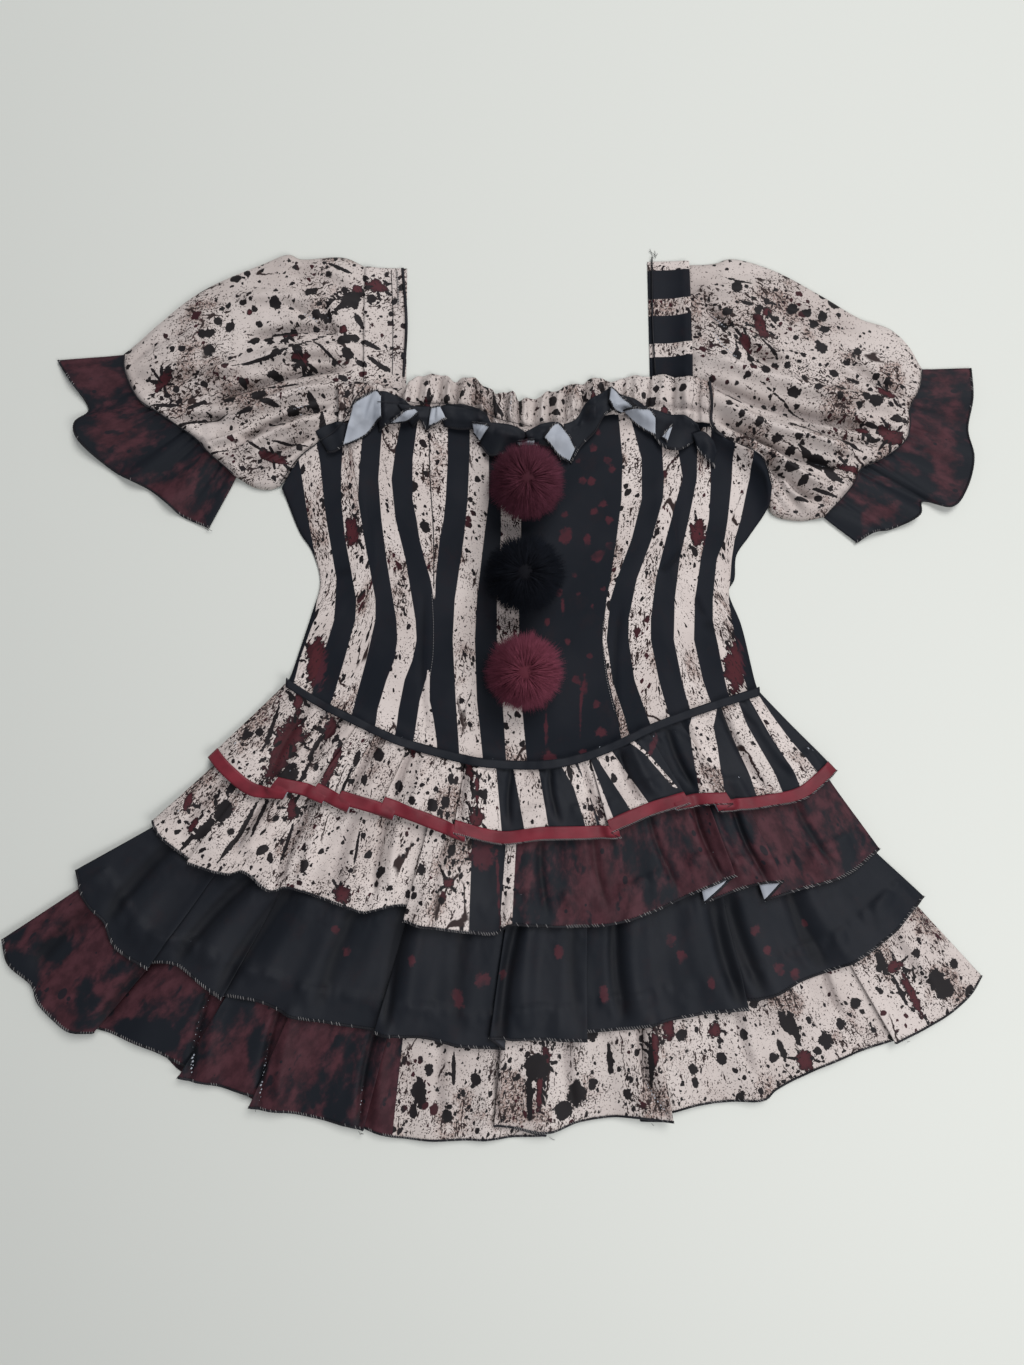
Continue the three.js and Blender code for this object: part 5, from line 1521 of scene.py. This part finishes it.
seams = {
    "strap_left_binding": {"at": [(-110, 388), (-106.5, 340), (-109, 290)], "wide": 2.4, "lift": 0.9},
    "strap_left_topstitch": {"at": [(-120, 386), (-118.5, 340), (-119, 292)], "wide": 0.6},
    "strap_left_zigzag": {"at": [(-115, 386), (-114, 370),
                                 (-113.5, 355)], "wide": 1.6, "dashes": 2.2, "finish": 1},
    "strap_left_tab": {"at": [(-111, 309), (-108.5, 309)], "wide": 6},
    "strap_right_binding": {"at": [(114, 398), (114.5, 340), (117, 292)], "wide": 1.2, "lift": 0.9,
                            "slot": "charcoal_cloth"},
    "armhole_left_overlock": {"at": [(-141, 279), (-163, 243), (-186, 227), (-203, 214),
                                     (-219, 193)], "wide": 0.9},
    "armhole_right_overlock": {"at": [(163, 282), (164, 262), (165, 243), (176, 234)], "wide": 2.4},
    "armhole_right_seam": {"at": [(165, 243), (189, 226), (209, 214), (219, 192)], "wide": 0.8},
    "dart_left_stitches": {"at": [(-83.5, 96), (-82, 70), (-82.5, 40), (-85, 22)], "wide": 0.5, "dashes": 2.4,
                           "finish": 1, "slot": "charcoal_cloth"},
    "dart_left_seam": {"at": [(-86, 240), (-85, 200), (-82, 150), (-81.5, 100)], "wide": 0.8},
    "dart_right_stitches": {"at": [(70, 72), (69.5, 52), (73, 20), (80, -10)], "wide": 0.5, "dashes": 2.4,
                            "finish": 1, "slot": "charcoal_cloth"},
    "frill_elastic": {"at": [(-130, 262), (-94, 264), (-50, 260), (-24, 250), (4, 243)], "wide": 0.6},
    "cuff_left_seam": {"at": [(-358, 309), (-356, 292), (-344, 268), (-328, 257), (-306, 242), (-292, 232),
                              (-281, 220), (-259, 201)], "wide": 1.0},
    "cuff_right_seam": {"at": [(355, 296), (351, 277), (343, 261), (340, 234), (320, 216), (299, 206),
                               (292, 192), (268, 165)], "wide": 1.0},
}
for name, row in seams.items():
    seam(name, row)


def looseEnds(name, roots, slotName, seed, finish=0):
    # a few loose ends of thread at a raw corner: root x and y, way in degrees, length in mm
    rng = np.random.default_rng(seed)
    tubes = []
    for x, y, way, long in roots:
        a = math.radians(way)
        bend = rng.uniform(-0.5, 0.5)
        turned = [(t * long, a + bend * t) for t in (0, 0.35, 0.7, 1)]
        points = [(x + far * math.cos(turn), y + far * math.sin(turn)) for far, turn in turned]
        path = onPile(points, 0.6 * mm, 0.8 * mm)
        tube, faces = tubeAlong(path, 0.35 * mm, 0.35 * mm, np.array([0, 0, 1.0]))
        tubes.append((tube, faces, finish))
    return sewn(name, tubes, slotName)


looseEnds("thread_ends_strap_right", [(115, 397, 100, 9), (116, 398, 60, 6), (118, 399, 130, 8),
                                      (117, 397, 80, 5)],
          "charcoal_cloth", 7)
looseEnds("thread_ends_tier_4", [(-148, -383, -60, 7), (-146, -384, -100, 5), (-240, -360, -70, 5),
                                 (340, -304, -40, 6), (22, -392, -60, 6),
                                 (112, -376, -50, 6)], "cream_cloth", 8)
looseEnds("thread_ends_cuff_left", [(-285, 155, -60, 5), (-287, 154, -20, 4)], "mottled_red_cloth", 9)
print("seams laid")


# Fur pompoms: locks of hair that start on a small core

pompoms = {
    "pompom_top": {"at": (1, 190.5), "radius": 34.5, "slot": "red_fur",
                   "tip": (0.205, 0.060, 0.093), "root": (0.044, 0.011, 0.017)},
    "pompom_middle": {"at": (-1, 110), "radius": 36, "slot": "black_fur",
                      "tip": (0.0135, 0.0175, 0.026), "root": (0.0035, 0.0036, 0.0055)},
    "pompom_bottom": {"at": (-1, 25), "radius": 35.5, "slot": "red_fur",
                      "tip": (0.330, 0.088, 0.135), "root": (0.078, 0.017, 0.026)},
}
hairs, hairSteps, lockCount = 9400, 2, 300
hairWide = 0.36 * mm * np.array([1.0, 0.8])  # from the middle of a hair to its corners, at each step


def furFinish(name, tip, root):
    kit = nodeKit(name, 0.7)
    along = kit["field"]("hairShare")
    each = kit["field"]("hairTone")
    # hairs go from the root colour to the tip colour: lighter tips of the fur itself, and painted shade deep
    # in the fur at the roots
    light = kit["math"]("MULTIPLY", each, kit["math"]("ADD", kit["math"]("MULTIPLY", along, 0.8), 0.2))
    colourOf(kit, kit["mix"](light, root, tip))
    kit["shader"].inputs["Specular IOR Level"].default_value = 0.07
    return kit["finish"]


def hairFaces():
    # one hair is a three-sided taper: a base, the walls of its steps, and a point
    faces = [(2, 1, 0)]
    for s in range(hairSteps - 1):
        for a in range(3):
            b = (a + 1) % 3
            faces += [(3 * s + a, 3 * s + b, 3 * s + 3 + b), (3 * s + a, 3 * s + 3 + b, 3 * s + 3 + a)]
    last, tip = 3 * (hairSteps - 1), 3 * hairSteps
    return np.array(faces + [(last + a, last + (a + 1) % 3, tip) for a in range(3)])


def innerBall(centre, radius, floor):
    # the dense inner fur, a ball under the hairs: points and triangles
    rings, around = 14, 24
    polar = np.linspace(0.02, np.pi - 0.02, rings)
    turn = np.linspace(0, 2 * np.pi, around, endpoint=False)[:, None]
    ball = np.stack([np.cos(turn) * np.sin(polar), np.sin(turn) * np.sin(polar),
                     np.cos(polar) * np.ones_like(turn)], axis=-1)
    ball = centre + radius * ball.reshape(-1, 3)
    ball[:, 2] = np.maximum(ball[:, 2], floor)
    k = np.arange(around * rings).reshape(around, rings)
    after = np.roll(k, -1, axis=0)
    wall = np.stack([k[:, :-1], k[:, 1:], after[:, 1:], after[:, :-1]], axis=-1).reshape(-1, 4)
    fans = []
    for ring, way in ((k[:, 0], 1), (k[:, -1], -1)):
        fans.append(np.column_stack([np.full(around - 2, ring[0]), ring[1:-1], ring[2:]][::way]))
    return ball, np.concatenate([wall[:, [0, 1, 2]], wall[:, [0, 2, 3]]] + fans)


def furBall(name, settings, seed):
    rng = np.random.default_rng(seed)
    unit = lambda vectors: vectors / np.linalg.norm(vectors, axis=1, keepdims=True)
    x, y = np.array(settings["at"]) * mm
    radius = settings["radius"] * mm
    seat = pile.under(np.array([x]), np.array([y]), 4)[0]
    centre = np.array([x, y, seat + 0.74 * radius])
    # hairs spread evenly over a ball, each drawn towards its lock
    k = np.arange(hairs) + 0.5
    polar = np.arccos(1 - 2 * k / hairs)
    turn = np.pi * (1 + 5 ** 0.5) * k
    ways = np.stack([np.cos(turn) * np.sin(polar), np.sin(turn) * np.sin(polar), np.cos(polar)], axis=-1)
    ways = unit(ways + rng.normal(0, 0.05, ways.shape))
    locks = unit(rng.normal(0, 1, (lockCount, 3)))
    which = np.argmax(ways @ locks.T, axis=1)
    lockTone = rng.uniform(0.55, 1.0, lockCount)[which]
    long = radius * rng.uniform(0.84, 1.06, hairs) * (1 + 0.035 * rng.normal(0, 1, lockCount)[which])
    core = 0.30 * radius
    bend = rng.normal(0, 0.06, ways.shape)
    outwards = ways * (1, 1, 0) / np.maximum(np.linalg.norm(ways[:, :2], axis=1, keepdims=True), 1e-6)
    drop = np.array([0, 0, -0.10])
    stations = np.linspace(0, 1, hairSteps + 1)
    lines = []
    for s in stations:
        way = unit(ways + (locks[which] - ways) * 0.36 * s ** 1.4 + (bend + drop + 0.5 * outwards) * s ** 1.6)
        spot = centre + way * (core + (long - core) * s)[:, None]
        spot[:, 2] = np.maximum(spot[:, 2], seat + 0.8 * mm + 3 * mm * (1 - s))
        lines.append(spot)
    lines = np.stack(lines, axis=1)
    # a three-sided hair round each line
    ahead = unit(lines[:, -1] - lines[:, 0])
    aside = unit(np.cross(ahead, rng.normal(0, 1, ahead.shape)))
    other = np.cross(ahead, aside)
    around = np.stack([math.cos(a) * aside + math.sin(a) * other for a in np.radians([0, 120, 240])], axis=1)
    rings = [lines[:, s, None] + hairWide[s] * around for s in range(hairSteps)]
    points = np.concatenate([np.concatenate(rings, axis=1), lines[:, -1:]], axis=1)
    per = points.shape[1]
    faces = (hairFaces()[None] + per * np.arange(hairs)[:, None, None]).reshape(-1, 3)
    share = np.concatenate([np.repeat(stations[:-1], 3), [1]])
    # hairs that point up are darker: painted shade, on top of the random tone of each hair and lock
    tone = rng.uniform(0.5, 1, hairs) * lockTone * (1 - 0.42 * ease((ways[:, 2] - 0.5) / 0.45))
    ball, ballFaces = innerBall(centre, 0.6 * radius, seat + 1.5 * mm)
    # the inner ball takes the root colour: painted shade deep in the fur
    dark = np.zeros(len(ball))
    fields = {"hairShare": np.concatenate([np.tile(share, hairs), dark]),
              "hairTone": np.concatenate([np.repeat(tone, per), dark])}
    finish = furFinish(name + "_fur", settings["tip"], settings["root"])
    piece = meshFrom(name + "_fur", np.concatenate([points.reshape(-1, 3), ball]),
                     np.concatenate([faces, ballFaces + hairs * per]), None, fields, None, None, (finish,))
    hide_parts(name)


for seed, (name, settings) in enumerate(pompoms.items()):
    furBall(name, settings, 200 + seed)
print("pompoms made")


# Floor, light and camera

floor = meshFrom("floor", [(-3, -3, -0.0006), (3, -3, -0.0006), (3, 3, -0.0006), (-3, 3, -0.0006)],
                 np.array([[0, 1, 2, 3]]), np.array([(-3, -3), (3, -3), (3, 3), (-3, 3)], float))
floorKit = nodeKit("pale_floor", 0.75)
floorKit["shader"].inputs["Base Color"].default_value = (0.60, 0.61, 0.57, 1)
floor.data.materials.append(floorKit["finish"])


def softLight(name, at, aim, size, power):
    data = bpy.data.lights.new(name, "AREA")
    data.shape, data.size, data.energy = "SQUARE", size, power
    lamp = bpy.data.objects.new(name, data)
    bpy.context.scene.collection.objects.link(lamp)
    lamp.location = at
    lamp.rotation_euler = (Vector(aim) - Vector(at)).to_track_quat("-Z", "Y").to_euler()


softLight("key", (0.79, 1.49, 2.45), (0.0, 0, 0), 1.4, 61)
softLight("fill", (0.71, -0.63, 1.26), (0.0, -0.2, 0), 0.8, 11.3)
world = bpy.data.worlds.new("room")
bpy.context.scene.world = world
world.use_nodes = True
world.node_tree.nodes["Background"].inputs["Color"].default_value = (0.90, 0.93, 1.0, 1)
world.node_tree.nodes["Background"].inputs["Strength"].default_value = 0.32
bpy.context.scene.view_settings.view_transform = "Standard"

viewCentre = (-11.7 * mm, 15.75 * mm)
viewHeight = 1228.5 * mm
cameraUp = 0.95
camera = bpy.data.cameras.new("camera")
camera.sensor_fit = "VERTICAL"
camera.sensor_height = 36
camera.lens = 36 * cameraUp / viewHeight
cameraPiece = bpy.data.objects.new("camera", camera)
bpy.context.scene.collection.objects.link(cameraPiece)
cameraPiece.location = (*viewCentre, cameraUp)
bpy.context.scene.camera = cameraPiece

triangles = {o.name: sum(len(p.vertices) - 2 for p in o.data.polygons) for o in bpy.context.scene.objects
             if o.type == "MESH" and not o.hide_render}
print("triangles", sum(triangles.values()), "largest", max(triangles.items(), key=lambda item: item[1]))
